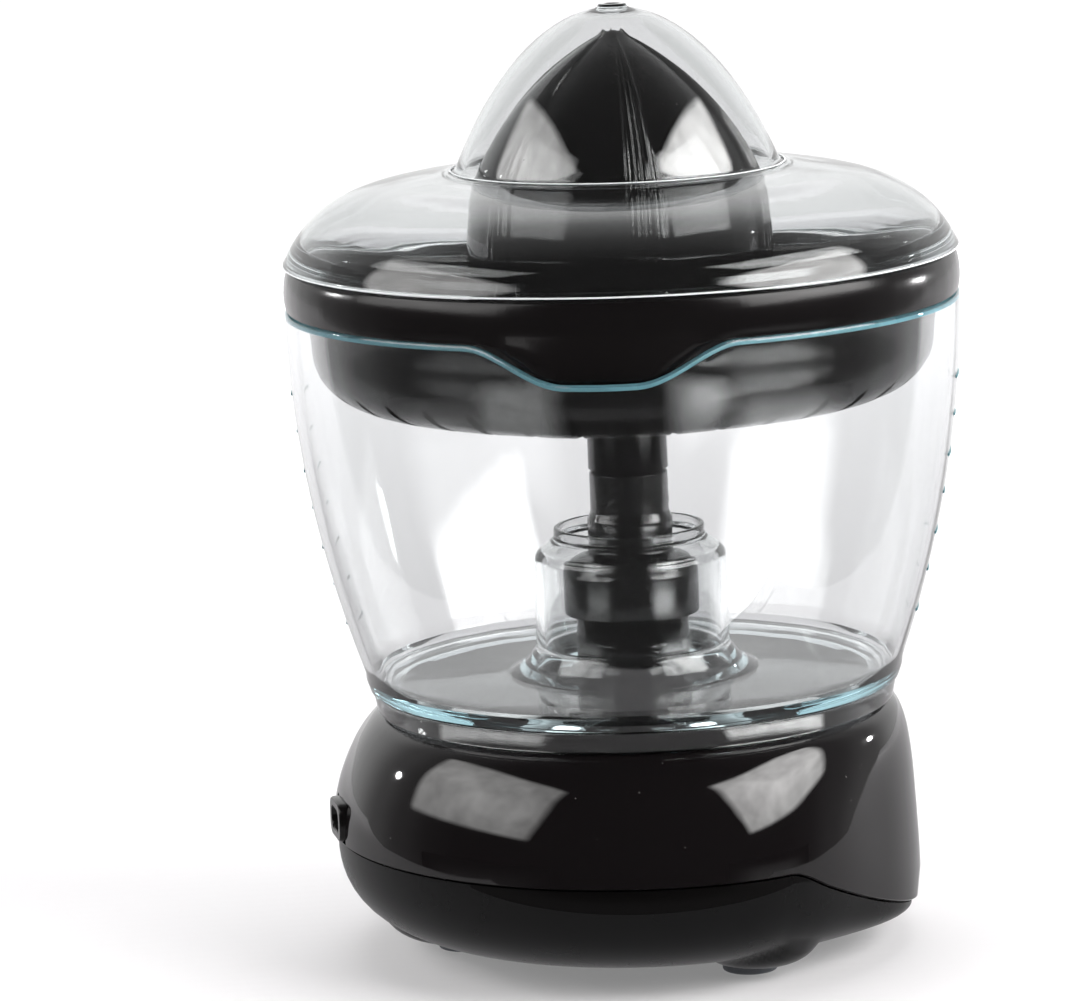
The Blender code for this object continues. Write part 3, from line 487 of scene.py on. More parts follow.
def make_dust_cover():
    tall = DOME_APEX_Z - DOME_FOOT_Z
    heights = [DOME_APEX_Z - tall * (0.1 + 0.9 * i / 26.0) ** 2 for i in range(27)]
    nub = rounded([(0.0, 207.9), (1.3, 207.9), (1.7, 208.18, 0.1), (2.9, 208.18, 0.2), (3.3, 207.55, 0.1)],
                  False, 4)
    foot = rounded([(34.9, 174.6), (35.7, 172.9, 1.6), (37.6, 172.75, 0.5), (38.4, 172.5, 0.5),
                    (41.0, 172.1)], False, 5)
    deck = spline([(41.0, 172.1), (48.0, 171.1), (55.0, 169.7), (60.2, 167.9), (64.8, 165.3),
                   (68.7, 162.0), (71.7, 158.2), (73.6, 154.8)], 5)
    outer = nub + [(dome_radius(z), z) for z in heights] + foot[1:-1] + deck
    lip = rounded([(73.75, COVER_RIM_Z), (71.6, COVER_RIM_Z, 0.3), (71.3, 150.8, 0.4), (70.2, 150.8, 0.4),
                   (70.2, 156.0)], False, 4)
    shoulder = spline([(70.2, 156.0), (69.6, 158.0), (67.6, 160.7), (63.9, 163.8), (59.6, 166.2),
                       (54.6, 168.0), (47.8, 169.5), (41.0, 170.5)], 5)
    inner_foot = rounded([(41.0, 170.5), (37.2, 171.1, 1.0), (34.0, 172.0, 2.4), (33.4, 175.0)], False, 5)
    inner_dome = [(dome_radius(z) - DOME_WALL, z - 0.6) for z in reversed(heights[4:])]
    top = [(4.0, DOME_APEX_Z - 1.5), (0.0, DOME_APEX_Z - 1.3)]
    outline = outer + [(73.95, 154.2)] + lip + shoulder[1:] + inner_foot[1:-1] + inner_dome[1:] + top
    turned("clear_dust_cover", outline, LOOKS["clear_cover"], "cover_body", ("dust_cover",), 180)
    # Pale ring at the cover's lower edge: a painted highlight for the bright line of light along the clear
    # edge.
    edge = rounded([(73.6, 153.62), (73.98, 153.7, 0.1), (73.98, 153.98, 0.1), (73.6, 154.05)], True, 4)
    turned("cover_edge_painted_glint", edge, LOOKS["painted_glint_edge"], "cover_body", (), 180)
    # Pale bead at the dome's foot, in the same painted-highlight material.
    bead = [(36.55 + 0.22 * math.cos(math.radians(a)), 173.05 + 0.16 * math.sin(math.radians(a)))
            for a in range(0, 360, 45)]
    turned("cover_dome_foot_line", bead, LOOKS["painted_glint_edge"], "cover_body", (), 144)


# --- reamers -----------------------------------------------------------------------------------
def ogive(height, foot_r, apex_z, tall, power):
    drop = min(1.0, max(0.0, (apex_z - height) / tall))
    return foot_r * (1.0 - (1.0 - drop) ** 2) ** power


HALF_RIB = ((0.9, 1.0), (1.6, 0.98), (2.6, 0.62), (3.8, 0.56), (4.6, 0.86), (5.4, 0.72), (6.4, 0.12),
            (7.6, 0.0))
RIB_SHAPE = tuple((-a, h) for a, h in HALF_RIB[::-1]) + ((0.0, 0.66),) + HALF_RIB
PANEL_STEPS = (10.0, 13.0, 16.5, 20.0, 24.0, 28.0, 32.0, 36.0, 40.0, 43.5, 47.0, 50.0)


def cone_azimuths():
    offsets = [a for a, _ in RIB_SHAPE] + list(PANEL_STEPS)
    return [RIB_PHASE + RIB_PITCH * k + off for k in range(6) for off in offsets]


def rib(azimuth):
    """Height share of the triple-ridged rib at an azimuth, 0 on the panels between ribs."""
    off = (azimuth - RIB_PHASE + RIB_PITCH / 2) % RIB_PITCH - RIB_PITCH / 2
    if abs(off) > RIB_SHAPE[-1][0]:
        return 0.0
    for (a0, h0), (a1, h1) in zip(RIB_SHAPE, RIB_SHAPE[1:]):
        if a0 <= off <= a1:
            return between(h0, h1, (off - a0) / (a1 - a0))
    return 0.0


def make_large_reamer():
    levels = [0.012, 0.03, 0.05, 0.075, 0.1, 0.13, 0.17, 0.21, 0.26, 0.31, 0.37, 0.43, 0.5, 0.57, 0.65,
              0.73, 0.82, 0.91, 1.0]
    skirt = rounded([(CONE_R, 150.0), (CONE_R + 0.5, 130.0, 2.0), (34.6, 128.2, 0.8),
                     (34.6, CONE_FOOT_Z, 0.4), (31.6, CONE_FOOT_Z, 0.4), (31.1, 151.0)], False, 4)
    under = [(ogive(z, CONE_R, CONE_APEX_Z, CONE_H, CONE_POWER) - 2.1, z - 0.4) for z in
             (156.0, 163.0, 170.0, 177.0, 184.0, 190.0, 195.0, 198.0)]

    def section(azimuth):
        crest = rib(azimuth)
        rows = [(1.9, CONE_APEX_Z - 1.4 + 0.8 * crest), (2.3, CONE_APEX_Z - 0.9 + 1.0 * crest)]
        for level in levels:
            z = CONE_APEX_Z - CONE_H * level
            share = min(1.0, level * CONE_H / 9.0)
            radius = max(ogive(z, CONE_R, CONE_APEX_Z, CONE_H, CONE_POWER), 2.5)
            rows.append((radius + 1.1 * crest * (0.25 + 0.75 * share), z))
        for index, (r, z) in enumerate(skirt[1:-1]):
            rows.append((r + (1.1 * crest if index < 1 else 0.0), z))
        return rows + [skirt[-1]] + under + [(1.9, CONE_APEX_Z - 3.0)]

    bm = ring_mesh(section, cone_azimuths())
    finish_mesh("large_reamer_shell", bm, LOOKS["gloss_black"], "large_reamer_body", ("large_reamer",),
                24.0)


def make_small_reamer():
    levels = (0.03, 0.07, 0.12, 0.19, 0.27, 0.37, 0.48, 0.6, 0.74, 0.88, 1.0)

    def section(azimuth):
        crest = rib(azimuth)
        rows = [(0.0, CONE_APEX_Z - 0.1), (0.7, CONE_APEX_Z - 0.2), (1.15, CONE_APEX_Z - 0.7)]
        rows += [(1.3, CONE_APEX_Z - 4.4)]
        for level in levels:
            z = SMALL_APEX_Z - SMALL_H * level
            radius = max(1.5, ogive(z, SMALL_R, SMALL_APEX_Z, SMALL_H, SMALL_POWER))
            rows.append((radius + 0.8 * crest * smooth(level * 4), z))
        rows += [(SMALL_R + 0.4, 131.0), (SMALL_R + 0.4, 130.0), (SMALL_R, 129.6), (21.3, 129.6)]
        rows += [(21.0, 130.0)]
        rows += [(20.2, 150.0), (15.5, 166.0), (11.0, 166.0), (STEM_R, 160.0)]
        rows += [(STEM_R, STEM_FOOT_Z + 0.5), (STEM_R - 0.5, STEM_FOOT_Z), (5.65, STEM_FOOT_Z)]
        return rows + [(5.65, 126.0), (0.0, 126.0)]

    bm = ring_mesh(section, cone_azimuths())
    finish_mesh("small_reamer_shell", bm, LOOKS["gloss_black"], "small_reamer_body", ("small_reamer",),
                24.0)


# --- strainer ----------------------------------------------------------------------------------
def spout_share(azimuth):
    return smooth(1.32 * (1.0 - apart(azimuth, SPOUT_AZIMUTH) / SPOUT_HALF_ANGLE))


SLOT_COUNT = 36
SLOT_PITCH = 360.0 / SLOT_COUNT
SLOT_PHASE = 2.0
SLOT_OFFSETS = (-1.0, -0.55, 0.55, 1.0, 3.9, 6.2)


def make_strainer():
    azimuths = [SLOT_PHASE + SLOT_PITCH * k + off for k in range(SLOT_COUNT) for off in SLOT_OFFSETS]
    corner = spline([(68.5, 137.5), (67.9, 132.5), (65.6, 128.0), (61.4, 124.4), (55.4, 122.2),
                     (50.0, 122.0)], 4)
    inner_corner = spline([(67.2, 138.7), (66.6, 133.7), (64.3, 129.2), (60.1, 125.6), (54.6, 123.7),
                           (50.0, 123.6)], 4)
    floor = STRAINER_FLOOR_Z
    first = 12  # index in a section of the bowl's first outer point

    def section(azimuth):
        share = spout_share(azimuth)
        step_r = 71.2 + (OUTER_R + 1.6 - 71.2) * share
        step_z = JUG_RIM_Z + 0.3 - SPOUT_DIP * share
        rows = [(72.68, STRAINER_TOP_Z), (72.9, STRAINER_TOP_Z - 0.15)]
        rows += [(73.35, 152.2), (73.68, 151.0), (73.9, 149.6), (OUTER_R, 148.0)]
        rows += [(OUTER_R, 146.8), (OUTER_R - 0.1 + 0.5 * share, JUG_RIM_Z + 1.9)]
        rows += [(OUTER_R - 0.3 + 1.6 * share, JUG_RIM_Z + 0.9 - 0.6 * share)]
        rows += [(OUTER_R - 0.5 + 2.3 * share, between(JUG_RIM_Z + 0.35, step_z + 0.4, share))]
        rows += [(step_r, step_z)]
        rows += [(68.9, 140.6 - SPOUT_DIP * 0.62 * share)]
        rows += [(r, z - 0.4 * share) for r, z in corner]
        rows += [(COLLAR_BORE + 5.4, floor), (COLLAR_BORE + 4.4, floor - 0.5)]
        rows += [(COLLAR_BORE + 3.6, floor - 1.8)]
        rows += [(COLLAR_BORE - 1.2, floor - 1.8), (COLLAR_BORE - 1.2, 124.2), (COLLAR_BORE, 124.2)]
        rows += [(COLLAR_BORE, 133.2), (COLLAR_BORE + 1.7, 133.2), (COLLAR_BORE + 1.9, 125.0)]
        rows += [(16.5, floor + 1.6)]
        rows += inner_corner[::-1]
        rows += [(67.4, 141.4), (69.2, 143.8), (72.0, 145.8), (72.6, 147.0), (72.6, STRAINER_TOP_Z - 0.2)]
        return rows + [(72.7, STRAINER_TOP_Z)]

    # A slot runs from just under the wall's bend to the flat floor; its ends are one cell narrower.
    last_inner = first + len(corner) + 10 + len(inner_corner) - 1
    holes = set()
    per_slot = len(SLOT_OFFSETS)
    for k in range(SLOT_COUNT):
        for column, (j0, j1) in ((0, (9, 18)), (1, (8, 19)), (2, (9, 18))):
            holes |= {(k * per_slot + column, first + j) for j in range(j0, j1)}
    bm = ring_mesh(section, azimuths, holes=holes, mate=lambda j: last_inner - (j - first))
    finish_mesh("strainer_shell", bm, LOOKS["satin_black"], "strainer_body", ("strainer_basket",), 40.0)


# --- jug ---------------------------------------------------------------------------------------
def jug_radius(height):
    return 73.9 - 0.00213 * (145.0 - height) ** 2


def spout_bulge(azimuth, height):
    rise = (height - SPOUT_FOOT_Z) / (JUG_RIM_Z - SPOUT_DIP - SPOUT_FOOT_Z)
    if rise <= 0.0:
        return 0.0
    width = SPOUT_HALF_ANGLE * (0.25 + 0.75 * min(rise, 1.0))
    ridge = max(0.0, 1.0 - apart(azimuth, SPOUT_AZIMUTH) / width)
    return SPOUT_REACH * min(rise, 1.0) * (0.35 * ridge + 0.65 * smooth(ridge))


def make_jug():
    near = [SPOUT_AZIMUTH - 30.0 + i for i in range(60)]
    azimuths = near + [SPOUT_AZIMUTH + 30.0 + 2.0 * i for i in range(150)]
    levels = [62.6, 65.0, 68.5, 72.5, 77.0, 82.0, 87.0, SPOUT_FOOT_Z]
    levels += [96.0 + 4.0 * i for i in range(11)] + [139.5, 142.6]
    skirt = rounded([(55.5, 54.2, 0.2), (57.2, 54.2, 0.5), (58.0, 58.6, 0.3), (58.7, 59.1, 0.5),
                     (59.5, 61.6)], False, 4)
    column = rounded([(57.0, 62.6), (55.2, JUG_FLOOR_TOP_Z, 1.6), (27.6, JUG_FLOOR_TOP_Z, 1.2),
                      (24.2, 63.4, 1.6), (21.5, 67.0, 3.0), (21.2, 87.4, 2.8), (17.4, 90.6, 1.4),
                      (16.6, 91.6, 0.6), (16.6, 93.5, 0.35), (15.5, 93.5, 0.3), (15.5, 90.2, 0.8),
                      (19.5, 87.4, 1.8), (19.7, 67.2, 2.0), (22.0, 63.0, 1.6), (23.6, 59.0, 0.4),
                      (55.5, 59.0, 0.5), (55.5, 54.6)], False, 5)[1:-1]

    def section(azimuth):
        share = spout_share(azimuth)
        rim = JUG_RIM_Z - SPOUT_DIP * share
        scale = (rim - SPOUT_FOOT_Z) / (JUG_RIM_Z - SPOUT_FOOT_Z)
        heights = [z if z <= SPOUT_FOOT_Z else SPOUT_FOOT_Z + (z - SPOUT_FOOT_Z) * scale for z in levels]
        outer = [(jug_radius(z) + spout_bulge(azimuth, z), z) for z in heights]
        r = jug_radius(rim) + spout_bulge(azimuth, rim)
        lip = [(r, rim - 0.55), (r - 0.18, rim - 0.16), (r - 0.55, rim)]
        lip += [(r - JUG_WALL + 0.55, rim), (r - JUG_WALL + 0.18, rim - 0.16), (r - JUG_WALL, rim - 0.55)]
        inner = [(a - JUG_WALL, z) for a, z in reversed(outer)]
        return skirt + outer + lip + inner + column

    bm = ring_mesh(section, azimuths)
    finish_mesh("clear_jug", bm, LOOKS["clear_jug"], "jug_body", ("jug",), 30.0)

    def core(azimuth):
        rim = JUG_RIM_Z - SPOUT_DIP * spout_share(azimuth)
        r = jug_radius(rim) + spout_bulge(azimuth, rim)
        return [(r - 0.25, rim - 0.5), (r - 0.25, rim - 1.25), (r - 1.5, rim - 1.25), (r - 1.5, rim - 0.5)]

    finish_mesh("jug_rim_tint", ring_mesh(core, azimuths), LOOKS["rim_tint"], "jug_body")


# --- base --------------------------------------------------------------------------------------
BASE_OUTLINE = spline(((55.6, 54.0), (56.4, 53.7), (59.2, 51.6), (62.6, 47.0), (65.8, 40.0), (67.5, 33.5),
                       (67.9, 28.0), (67.7, 24.0), (66.6, 19.0), (64.0, 14.0)))
CHIN_OUTLINE = spline(((55.6, 54.0), (56.2, 53.7), (58.4, 51.6), (60.0, 47.0), (61.0, 40.0), (61.7, 30.0),
                       (62.2, 20.0), (62.4, 12.0), (62.1, 10.0), (61.2, 8.4), (59.4, CHIN_SEAM_Z)))


def seam_height(azimuth):
    off = apart(azimuth, 0.0) / CHIN_HALF_ANGLE
    rise = CHIN_SEAM_Z + (SEAM_Z - CHIN_SEAM_Z) * off * off
    blend = smooth((rise - 22.0) / 10.0)
    return between(min(SEAM_Z, rise), SEAM_Z, blend)


def housing_radius(azimuth, height):
    front = smooth((78.0 - apart(azimuth, 0.0)) / 40.0)
    return between(along(BASE_OUTLINE, height), along(CHIN_OUTLINE, height), front)


def base_azimuths():
    """Round the base every 1.8 degrees, with lines on the outlet's sides."""
    lines = [OUTLET_AZIMUTH - OUTLET_HALF_ANGLE, OUTLET_AZIMUTH + OUTLET_HALF_ANGLE]
    fill = [a for a in steps(200, -178.0) if min(apart(a, line) for line in lines) > 0.8]
    return sorted((a + 180.0) % 360.0 - 180.0 for a in fill + lines)


def housing_heights(azimuth):
    """Heights up the upper housing's wall; on the back half seven of them cross the outlet."""
    outlet_low, outlet_high = OUTLET_Z - OUTLET_HALF_HEIGHT, OUTLET_Z + OUTLET_HALF_HEIGHT
    seam = seam_height(azimuth) + 0.45
    top = BASE_TOP_Z - 0.05
    low = outlet_low if seam < outlet_low - 0.1 else seam + 0.15
    start, end = (outlet_low, outlet_high) if abs(azimuth) > 100.0 else (low, between(low, top, 0.3))
    lower = [between(seam, low, i / 3.0) for i in range(3)]
    window = [between(start, end, i / 6.0) for i in range(7)]
    upper = [between(end, top, 1.0 - (1.0 - i / 26.0) ** 1.6) for i in range(1, 27)]
    return lower + window + upper


def upright_tools(places, outline, sides, turn):
    """Turned bodies at several places, as one bmesh for a boolean."""
    bm = bmesh.new()
    for place in places:
        ring_mesh(lambda _: outline, steps(sides, turn), place, bm)
    return bm


def rod(radius, low, high):
    return ((0.0, low), (radius, low), (radius, high), (0.0, high))


def make_upper_housing():
    azimuths = base_azimuths()

    def section(azimuth):
        zs = housing_heights(azimuth)
        seam = seam_height(azimuth)
        outer = [(housing_radius(azimuth, seam) - 1.0, seam)]
        outer += [(housing_radius(azimuth, seam + 0.15) - 0.35, seam + 0.15)]
        outer += [(housing_radius(azimuth, z), z) for z in zs]
        inner = [(housing_radius(azimuth, z) - BASE_WALL - 0.9 * smooth((z - 44.0) / 8.0), min(z, 52.6))
                 for z in zs]
        inner[0] = (inner[0][0], seam + 0.3)
        boss = rounded([(55.6, BASE_TOP_Z), (54.9, BASE_TOP_Z), (54.9, DECK_Z, 0.9), (18.0, DECK_Z, 0.5),
                        (14.4, 59.6, 1.6), (12.5, 62.6, 2.0), (12.4, 82.6, 0.7), (8.4, 82.6, 0.3),
                        (8.4, 56.5), (52.4, 56.5, 0.5), (52.4, 53.4)], False, 4)
        return outer + boss[1:-1] + [(52.2, 52.9)] + inner[::-1][1:] + [(inner[0][0], seam)]

    # The outlet's window is six cells high and starts five points up each section.
    total = len(section(azimuths[0]))
    first, window = 2, range(5, 11)
    holes = set()
    for i, azimuth in enumerate(azimuths):
        following = azimuths[(i + 1) % len(azimuths)]
        sides = apart(azimuth + 0.01, OUTLET_AZIMUTH), apart(following - 0.01, OUTLET_AZIMUTH)
        if max(sides) < OUTLET_HALF_ANGLE:
            holes |= {(i, j) for j in window}
    bm = ring_mesh(section, azimuths, holes=holes, mate=lambda j: total - 2 - (j - first))
    item = finish_mesh("gloss_upper_housing", bm, LOOKS["gloss_black"], "base", ("upper_housing",), 30.0)
    legs = [at_azimuth(azimuth, LEG_RING_R) for azimuth in LEG_AZIMUTHS]
    posts = upright_tools(legs, rod(4.2, 12.8, TOWER_PLATE_Z), 28, 4.1)
    for place in PLATE_POSTS:
        ring_mesh(lambda _: rod(3.6, 30.8, TOWER_PLATE_Z), steps(28, 4.1), place, posts)
    cut(item, posts, "UNION")
    bores = upright_tools(legs, rod(1.9, 11.8, 26.0), 20, 7.3)
    for place in PLATE_POSTS:
        ring_mesh(lambda _: rod(1.7, 29.8, 42.0), steps(20, 7.3), place, bores)
    cut(item, bores)


def leg_height(outward, sideways):
    """Height of a leg's under-surface: a flat foot in a dome that runs out into the bowl."""
    distance = math.hypot(outward, sideways)
    if distance <= LEG_FLAT_R:
        return LEG_FOOT_Z
    reach = LEG_DOME_REACH * (1.0 + 1.2 * max(0.0, outward / distance) ** 1.5)
    over = min(1.0, (distance - LEG_FLAT_R) / reach)
    return LEG_FOOT_Z + LEG_DOME_TALL * (1.0 - math.sqrt(1.0 - over * over))


def shade_crescent_turn(azimuth):
    """How far down the bowl, as a turn in degrees, the darker, glossier crescent under the seam reaches:
    painted shade, deepest on the camera's side.
    """
    return CRESCENT_TURN * (1.0 - (apart(azimuth, CAMERA_AZIMUTH) / CRESCENT_HALF_ANGLE) ** 2)


def bowl_point(azimuth, turn):
    """Point of the quarter-oval bowl under the seam, and how far down it is; 90 is the floor."""
    seam = seam_height(azimuth) - 0.3
    edge = housing_radius(azimuth, seam) - 0.75
    reach = math.radians(turn)
    inward = abs(math.cos(reach)) ** BOWL_POWER
    down = math.sin(reach) ** BOWL_POWER
    return LOWER_FLOOR_R + (edge - LOWER_FLOOR_R) * inward, seam - (seam - LOWER_FLOOR_Z) * down, down


def make_lower_housing():
    azimuths = steps(360)
    legs = [at_azimuth(azimuth, LEG_RING_R) for azimuth in LEG_AZIMUTHS]
    turns = [24.0, 30.0, 36.0, 42.0, 47.0, 51.0, 54.0, 57.0] + [60.0 + 2.5 * i for i in range(13)]
    flats = [31.5, 29.5, 28.0, 26.0, 22.0, 14.0, 7.0]

    def dropped(azimuth, radius, height):
        x, y = at_azimuth(azimuth, radius)
        for (lx, ly), leg in zip(legs, LEG_AZIMUTHS):
            ox, oy = heading(leg)
            outward = (x - lx) * ox + (y - ly) * oy
            sideways = (y - ly) * ox - (x - lx) * oy
            if math.hypot(outward, sideways) < LEG_FAR_R:
                height = min(height, leg_height(outward, sideways))
        return height

    def section(azimuth):
        outer, inner = [], []
        # Extra rows down to the edge of the crescent of painted shade.
        shade_turn = max(0.6, shade_crescent_turn(azimuth))
        near = [shade_turn * i / 3.0 for i in range(4)] + [between(shade_turn, 18.0, i / 4.0) for i in range(1, 5)]
        for turn in near + turns:
            r, z, down = bowl_point(azimuth, turn)
            outer.append((r, dropped(azimuth, r, z)))
            inner.append((r - BASE_WALL * (1.0 - 0.4 * down), z + BASE_WALL * 0.9 * down))
        outer += [(r, dropped(azimuth, r, LOWER_FLOOR_Z)) for r in flats]
        return [(0.0, LOWER_FLOOR_Z + 2.1)] + inner[::-1] + outer + [(0.0, LOWER_FLOOR_Z)]

    bm = ring_mesh(section, azimuths)
    item = finish_mesh("satin_lower_housing", bm, LOOKS["lower_black"], "base", ("lower_housing",), 60.0)
    cut(item, upright_tools(legs, rod(7.0, 4.6, 12.4), 32, 4.1), "UNION")
    bore = ((0.0, 1.0), (3.6, 1.0), (3.6, 8.0), (1.9, 8.0), (1.9, 14.0), (0.0, 14.0))
    cut(item, upright_tools(legs, bore, 24, 11.3))
    # Faces of the crescent under the seam, on the camera's side, take the darker seam material: painted
    # shade.
    item.data.materials.append(LOOKS["painted_seam_shade"])
    for face in item.data.polygons:
        x, y, z = face.center / MM
        azimuth = math.degrees(math.atan2(x, -y))
        turn = shade_crescent_turn(azimuth)
        if turn > 0.6 and face.normal.x * x + face.normal.y * y > 0.0 and z > bowl_point(azimuth, turn)[1]:
            face.material_index = 1


def outlet_tube(outer, inner, near, far):
    """Rounded rectangular frame along the outlet's way out, as a bmesh."""
    bm = bmesh.new()
    x, y = heading(OUTLET_AZIMUTH)

    def loop(width, height, corner, reach):
        points = []
        for cx, cy, start in ((1, 1, 0), (-1, 1, 90), (-1, -1, 180), (1, -1, 270)):
            for i in range(5):
                turn = math.radians(start + 90.0 * i / 4)
                u = cx * (width / 2 - corner) + corner * math.cos(turn)
                v = cy * (height / 2 - corner) + corner * math.sin(turn)
                points.append(bm.verts.new((x * reach - y * u, y * reach + x * u, OUTLET_Z + v)))
        return points

    rings = [loop(*outer, 2.6, near), loop(*outer, 2.6, far - 0.5),
             loop(outer[0] - 0.6, outer[1] - 0.6, 2.4, far), loop(inner[0] + 0.5, inner[1] + 0.5, 2.1, far),
             loop(*inner, 1.9, far - 0.4), loop(*inner, 1.9, near)]
    for a, b in zip(rings, rings[1:] + rings[:1]):
        for i in range(len(a)):
            bm.faces.new((a[i], a[i - 1], b[i - 1], b[i]))
    return bm


def make_base_details():
    bm = outlet_tube((13.0, 8.6), (8.6, 4.8), 61.5, 68.6)
    finish_mesh("outlet_grommet", bm, LOOKS["satin_black"], "base", ("cord_outlet_bezel",), 40.0)
    pad = rounded([(0.0, 0.0), (6.0, 0.0, 0.5), (6.0, 1.6, 0.2), (0.0, 1.6)], False, 5)
    for index, azimuth in enumerate(LEG_AZIMUTHS):
        turned(f"rubber_pad_{index + 1}", pad, LOOKS["foot_rubber"], "base", (f"foot_pad_{index + 1}",), 48,
               at_azimuth(azimuth, LEG_RING_R))


def make_drive_hub():
    outline = rounded([(4.3, 105.6), (8.6, 105.6, 0.4), (8.6, 96.8, 0.6), (9.4, 95.0, 0.5),
                       (9.4, 87.8, 1.2),
                       (13.2, 86.8, 1.6), (15.0, 83.4, 1.4), (15.0, 74.2, 0.4), (13.2, 74.2, 0.2),
                       (12.8, 85.4, 1.0), (4.3, 85.4)], True, 6)
    item = turned("drive_hub_shell", outline, LOOKS["hub_black"], "spindle_body", ("drive_hub",), 96)
    key = ((0.0, 101.7), (5.2, 101.7), (5.2, 124.2), (4.8, 124.6), (0.0, 124.6))
    cut(item, ring_mesh(lambda _: key, steps(6, 7.0)), "UNION")


# --- level marks: plain ticks with no figures ---------------------------------------------------
MARK_COUNT = 7
MARK_LOW_Z = 74.0
MARK_PITCH = 8.6
MARK_SECTION = ((-0.12, -0.35), (0.22, -0.25), (0.22, 0.25), (-0.12, 0.35))


def make_level_marks():
    """Raised ticks on both sides of the jug, every other one short."""
    for side, azimuth in (("left", 172.0), ("right", -14.0)):
        bm = bmesh.new()
        for index in range(MARK_COUNT):
            z = MARK_LOW_Z + MARK_PITCH * index
            half = 4.2 if index % 2 == 0 else 2.4
            base = jug_radius(z)
            rows = []
            for i in range(7):
                x, y = heading(azimuth - half + 2.0 * half * i / 6)
                rows.append([bm.verts.new((x * (base + out), y * (base + out), z + up))
                             for out, up in MARK_SECTION])
            for a, b in zip(rows, rows[1:]):
                for j in range(4):
                    bm.faces.new((a[j], a[(j + 1) % 4], b[(j + 1) % 4], b[j]))
            bm.faces.new(rows[0])
            bm.faces.new(rows[-1][::-1])
        finish_mesh(f"level_marks_{side}", bm, LOOKS["mark"], "jug_body")


# --- studio ------------------------------------------------------------------------------------
def camera_axes():
    """Level directions away from the object: towards the camera, and to the camera's right."""
    x, y = heading(CAMERA_AZIMUTH)
    return Vector((x, y, 0.0)), Vector((-y, x, 0.0))


def paper(name, near, far):
    """Pale matt paper whose own glow evens out the light's fall-off with distance."""
    look = Look(name, (0.56, 0.55, 0.562), 0.8)
    look.bump(look.noise(1.6, 3.0), 0.03).bump(look.waves(2.6, "X", 0.6), 0.02)
    look.color(look.noise(60.0, 2.0), (0.55, 0.54, 0.552), (0.57, 0.56, 0.572))
    reach = look.node("ShaderNodeVectorMath", Vector=look.place)
    reach.operation = "LENGTH"
    look.put(look.shader, "Emission Strength", look.ramp(reach.outputs["Value"], near, far))
    look.put(look.shader, "Emission Color", (1.0, 1.0, 1.0, 1.0))
    return look.made


def make_floor():
    """A wide pale floor, and the sheet of it that shiny and clear surfaces show."""
    bm = bmesh.new()
    bmesh.ops.create_circle(bm, cap_ends=True, segments=96, radius=9000.0)
    for vert in bm.verts:
        vert.co.z = -0.05
    item = finish_mesh("studio_floor", bm, paper("pale_floor", (0.22, 0.22), (0.9, 0.85)), None)
    item.visible_glossy = item.visible_transmission = item.visible_shadow = False
    front, right = camera_axes()
    bm = bmesh.new()
    sheet = ((135.0, -150.0), (135.0, 150.0), (60.0, 190.0), (-40.0, 260.0), (-900.0, 1500.0),
             (-3500.0, 1500.0), (-3500.0, -1500.0), (-900.0, -1500.0), (-40.0, -260.0), (60.0, -190.0))
    bm.faces.new([bm.verts.new((front * u + right * v) - Vector((0.0, 0.0, 0.4))) for u, v in sheet])
    item = finish_mesh("floor_sheet", bm, paper("white_sheet", (0.15, 0.15), (1.4, 0.52)), None)
    item.visible_camera = item.visible_diffuse = item.visible_shadow = False


def make_world():
    """White behind the object and dim in front; the camera itself sees white all round."""
    world = bpy.data.worlds.new("studio_world")
    bpy.context.scene.world = world
    world.use_nodes = True
    tree = world.node_tree
    links = tree.links
    sky = tree.nodes["Background"]
    place = tree.nodes.new("ShaderNodeTexCoord")
    dot = tree.nodes.new("ShaderNodeVectorMath")
    dot.operation = "DOT_PRODUCT"
    front, _ = camera_axes()
    dot.inputs[1].default_value = front
    links.new(place.outputs["Generated"], dot.inputs[0])
    shade = tree.nodes.new("ShaderNodeValToRGB")
    ramp = shade.color_ramp
    ramp.interpolation = "EASE"
    while len(ramp.elements) < len(SKY_LEVELS):
        ramp.elements.new(0.5)
    for element, (position, level) in zip(ramp.elements, SKY_LEVELS):
        element.position = position
        element.color = (level, level, level, 1.0)
    spread = tree.nodes.new("ShaderNodeMapRange")
    spread.inputs["From Min"].default_value = -1.0
    links.new(dot.outputs["Value"], spread.inputs["Value"])
    links.new(spread.outputs["Result"], shade.inputs["Fac"])
    path = tree.nodes.new("ShaderNodeLightPath")
    bounced = tree.nodes.new("ShaderNodeMath")
    links.new(path.outputs["Glossy Depth"], bounced.inputs[0])
    links.new(path.outputs["Diffuse Depth"], bounced.inputs[1])
    bounced.use_clamp = True
    seen = tree.nodes.new("ShaderNodeMix")
    seen.data_type = "RGBA"
    links.new(bounced.outputs["Value"], seen.inputs[0])
    seen.inputs[6].default_value = (1.0, 1.0, 1.0, 1.0)
    links.new(shade.outputs["Color"], seen.inputs[7])
    links.new(seen.outputs[2], sky.inputs["Color"])
    sky.inputs["Strength"].default_value = 1.02


def stand(item, azimuth, elevation, distance):
    """Places a light or card in a direction from the press's middle, turned to face it."""
    x, y = heading(CAMERA_AZIMUTH + azimuth)
    rise = math.radians(elevation)
    aim = Vector((0.0, 0.0, 0.1))
    away = Vector((x * math.cos(rise), y * math.cos(rise), math.sin(rise)))
    turn = away.to_track_quat("Z", "Y").to_matrix().to_4x4()
    item.matrix_world = Matrix.Translation(aim + away * distance) @ turn


